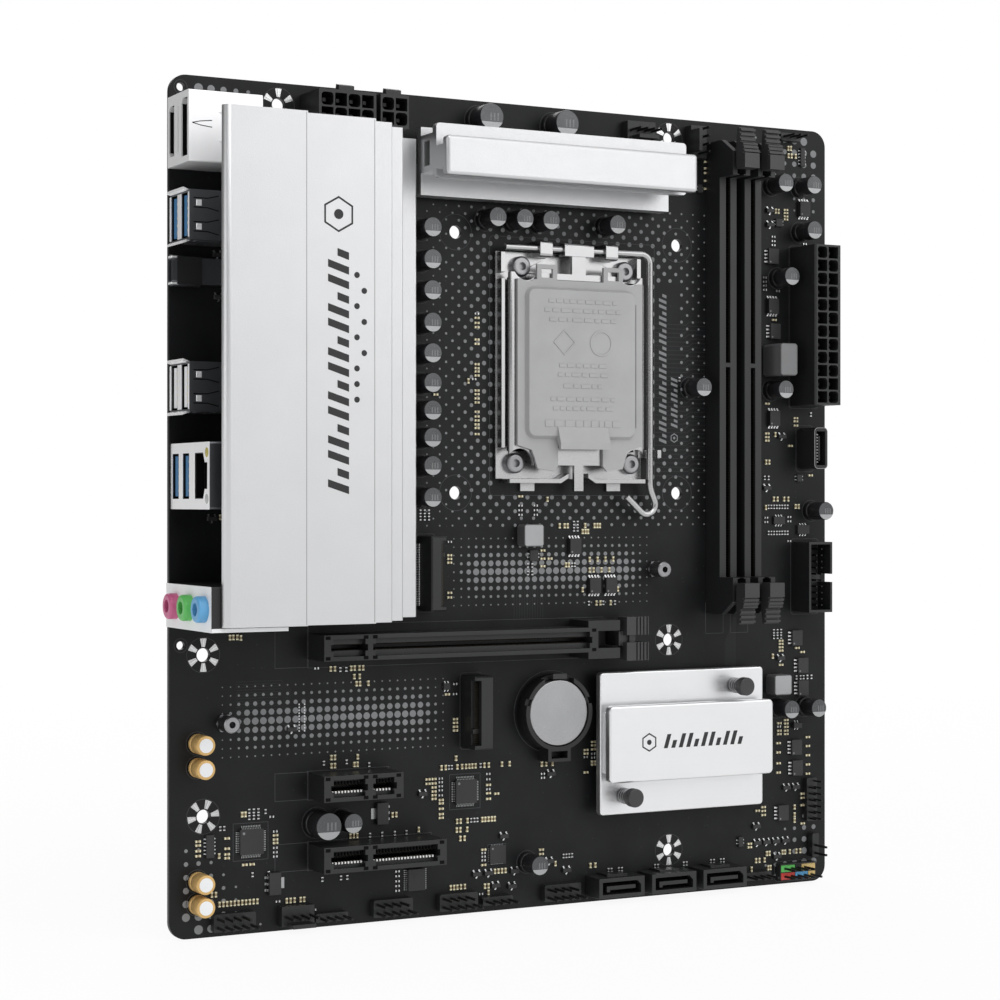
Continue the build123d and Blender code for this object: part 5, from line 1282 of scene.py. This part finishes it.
def port_faces():
    """The pale faces that the ports turn to the case: the audio face in white plastic, and white metal copies
    over the USB frames, flared lips and LAN face as a painted bright reflection.
    """
    face = Shape()
    face.slab((-0.86, -0.75, 88.3, 100.6), 0.05, 35.4, 0.05)
    face.slab((-0.8, 21.4, 88.32, 89.4), 35.45, 35.56, 0.04)
    # white metal copies of the shells' frames and lips, a painted bright reflection
    lip = [(-0.75, 7.75), (-0.75, 7.02), (0.9, 6.42), (1.66, 6.85)]
    for middle_z in (USB_UPPER_Z, USB_LOWER_Z):
        for low_n, high_n in ((6.6, 9.6), (14.9, 15.7), (0.2, 1.3)):
            face.slab((0.08, 0.3, middle_z - 6.2, middle_z + 6.2), low_n, high_n, 0.04, 0, 1)
        for side in (-1, 1):
            face.prism([(x, middle_z + side * z) for x, z in lip], 0.55, 13.48, 1)
    for low_z, high_z, low_n, high_n in LAN_FACE_PARTS:
        face.slab((0.48, 0.62, low_z, high_z), low_n, high_n, 0.03, 0, 1)
    crown = [(124.2, 25.8), (124.4, 25.8), (126.9, 27.0), (126.9, 28.9), (134.1, 28.9), (134.1, 27.0)]
    crown += [(136.6, 25.8), (136.8, 25.8), (136.8, 30.4), (124.2, 30.4)]
    face.plate(crown, 0.48, 0.62, 1)
    face.done("port_faces", [white_plastic, white_metal], slot="white_plastic")


def usb_c_brackets():
    """The USB-C port's black cap and the bright feet of its shell."""
    brackets = Shape()
    brackets.slab((1.2, 8.6, 184.4, 192.2), 3.2, 3.3, 0.03)
    for z in (184.3, 191.7):
        brackets.slab((-0.35, 1.6, z, z + 0.6), 0.2, 3.2, 0.1, 0, 1)
        brackets.slab((2.6, 4.0, z, z + 0.6), 0.2, 1.4, 0.1, 0, 1)
    brackets.done("usb_c_brackets", [black_plastic, white_metal], slot="nickel")


# ---------------------------------------------------------------- springs and cover
COIL_RADIUS = 2.15
RELIEF = 0.2  # how far the socket cover's raised marks stand up


def push_springs():
    """The coil springs under the push pins' heads, each as long as the room under its pin's head."""
    plate_top, turns, wire, head_depth = 6.5, 4, 0.28, 2.6
    for name in ("upper", "lower"):
        x, z = middle_of(f"push_pin_{name}")
        head_top = extent(f"push_pin_{name}")[5]
        length = head_top - head_depth - plate_top - 2 * wire - 0.04
        rings = []
        steps = 20 * turns
        for step in range(steps + 1):
            angle = 2 * math.pi * turns * step / steps
            n = plate_top + wire + 0.02 + length * step / steps
            section = circle(COIL_RADIUS, n, wire, 8)
            rings.append([(*polar(x, z, out, angle), height) for out, height in section])
        shape = Shape()
        shape.loft(rings)
        piece = shape.done(f"coil_spring_{name}", [spring_steel], slot="spring_steel")
        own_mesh(piece)
        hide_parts(f"pin_spring_{name}")


def raised_dashes(shape, middle_x, z, height, count, low_n):
    """A row of short raised bars of uneven length, centred on a place."""
    lengths = [draw.uniform(1.2, 3.4) for _ in range(count)]
    x = middle_x - (sum(lengths) + 0.7 * (count - 1)) / 2
    for length in lengths:
        shape.slab((x, x + length, z - height / 2, z + height / 2), low_n, low_n + RELIEF, 0.06)
        x += length + 0.7


def cover_marks():
    """Plain chevrons and a line on the socket's cover, and the raised dashes, diamond and ring."""
    shape = Shape()
    low_x, high_x, low_z, high_z = extent("socket_cover")[:4]
    flat = 7.2
    for middle_x, way in ((low_x + 6.2, 1), (high_x - 6.2, -1)):
        for rise in (0.0, 1.5):
            z = low_z + 12.2 + rise
            chevron = [(middle_x - way * 1.6, z + 1.4), (middle_x, z), (middle_x + way * 1.6, z + 1.4)]
            shape.route(chevron, 0.45, flat, flat + 0.04)
    shape.line((high_x - 2.2, 146.0), (high_x - 2.2, 184.0), 0.3, flat, flat + 0.04)
    shape.done("cover_marks", [cover_line], "socket_cover", slot="grey_plastic")

    relief = Shape()
    middle_x, pad = (low_x + high_x) / 2, 8.6
    rows = [(184.0, 1.1, 9), (181.2, 1.1, 9), (178.4, 1.1, 8), (164.6, 1.1, 6), (161.8, 1.1, 6)]
    rows += [(158.4, 1.2, 5), (154.4, 1.1, 8), (151.6, 1.1, 8), (147.0, 2.0, 9)]
    for z, height, count in rows:
        raised_dashes(relief, middle_x, z, height, count, pad)
    for shift, sides in ((-6.4, 4), (6.4, 40)):
        ring(relief, middle_x + shift, 171.6, 3.4, 0.5, pad, pad + RELIEF, sides)
    relief.done("cover_relief", [cover_plastic], "socket_cover", slot="grey_plastic")


# ---------------------------------------------------------------- rear face
# Headers with pins through the board: middle X, middle Z, columns, rows
HEADER_PINS = [(18.8, 4.1, 5, 2), (68.4, 4.1, 5, 2), (90.0, 4.1, 5, 2), (125.6, 4.1, 5, 2)]
HEADER_PINS += [(48.8, 3.0, 4, 1), (103.2, 3.4, 4, 1), (197.2, 3.6, 4, 1), (212.6, 4.0, 5, 2)]
HEADER_PINS += [(37.9, 4.4, 4, 1), (153.2, 238.6, 4, 1), (174.3, 236.7, 1, 4), (209.9, 240.9, 3, 1)]


def joint_grids():
    """Every grid of solder joints: middle X, middle Z, columns, rows, pitch, joint radius and height."""
    grids = [(*pins, 2.54, 0.75, 0.9) for pins in HEADER_PINS]
    grids += [(216.5, 179.9, 2, 12, 4.2, 1.25, 1.3), (48.85, 236.05, 4, 2, 4.2, 1.25, 1.3)]
    grids += [(63.7, 236.05, 2, 2, 4.2, 1.25, 1.3), (216.95, 99.1, 2, 10, 2.0, 0.6, 0.9)]
    grids += [(x, z, 1, 2, 2.2, 0.65, 0.7) for x, z in SMALL_CANS + LARGE_CANS]
    for port_z in (USB_UPPER_Z, USB_LOWER_Z, LAN_Z):
        grids.append((14.0, port_z, 2, 4, 2.4, 0.6, 0.8))
        grids += [(x, port_z, 1, 2, 14.0, 1.3, 1.2) for x in (4.0, 16.5)]
    grids += [(12.0, DISPLAY_Z, 5, 2, 2.6, 0.6, 0.8), (12.0, AUDIO_Z, 6, 2, 3.2, 0.7, 0.9)]
    grids.append((122.4, 59.3, 1, 2, 21.0, 1.0, 1.0))
    for slot_z, high_x in ((81.5, 128.0), (41.2, 67.0), (20.8, 80.0)):
        for x in spaced(46.0, 2.0, int((high_x - 46.0) / 2.0)):
            for row, shift in ((-3.0, 0), (-1.0, 0.5), (1.0, 0), (3.0, 0.5)):
                grids.append((x + shift, slot_z + row, 1, 1, 1, 0.42, 0.5))
    for slot_x in (182.1, 191.5):
        for z in spaced(101.5, 2.08, 60):
            grids += [(slot_x + row, z, 1, 1, 1, 0.4, 0.45) for row in (-1.9, 1.9)]
    return grids


def solder_side():
    """The rear face: domed solder joints under everything with pins, and its own small parts."""
    shape = Shape()
    for middle_x, middle_z, columns, rows, pitch, radius, height in joint_grids():
        profile = [(radius, REAR), (radius * 0.75, REAR - height * 0.35), (radius * 0.4, REAR - height)]
        for x in spaced(middle_x - (columns - 1) / 2 * pitch, pitch, columns):
            for z in spaced(middle_z - (rows - 1) / 2 * pitch, pitch, rows):
                shape.column(x, z, profile, 10)
    shape.done("solder_joints", [solder], slot="nickel")

    parts = Shape()
    rear = (REAR, -1)
    for z in spaced(156.0, 3.6, 6):
        for x in spaced(121.0, 2.0, 9):
            two_terminal(parts, x, z, True, CAPACITOR, *rear)
    for z in spaced(104.0, 4.6, 26):
        two_terminal(parts, 176.6, z, False, CAPACITOR, *rear)
        two_terminal(parts, 198.2, z, False, RESISTOR, *rear)
    for x, z in zip(spaced(40.0, 3.1, 30), spaced(102.0, 4.1, 30)):
        two_terminal(parts, x, 90.0, True, CAPACITOR, *rear)
        two_terminal(parts, 58.0, z, False, CAPACITOR, *rear)
    for x in spaced(150.0, 2.0, 16):
        two_terminal(parts, x, 62.0, True, RESISTOR, *rear)
        two_terminal(parts, x, 38.0, True, CAPACITOR, *rear)
    parts.done("rear_face_parts", PART_FINISHES, slot="nickel")


dot_field_socket()
dot_field_drive("printed_dots_lower", 15.9, 88.0, 50.65)
dot_field_drive("printed_dots_upper", 89.5, 157.0, 92.3)
dot_field_corners()
hole_pads()
printed_outlines()
plain_marks()
polymer_cans()
audio_cans()
ceramic_parts()
small_packages()
chip_leads()
board_traces()
inductor_tops()
socket_fingers()
slot_contacts()
m2_contacts()
sata_contacts()
usb_c_header_rim()
header_colours()
port_tongues()
port_springs()
port_lamps()
port_shade_linings()
port_faces()
usb_c_brackets()
push_springs()
cover_marks()
solder_side()
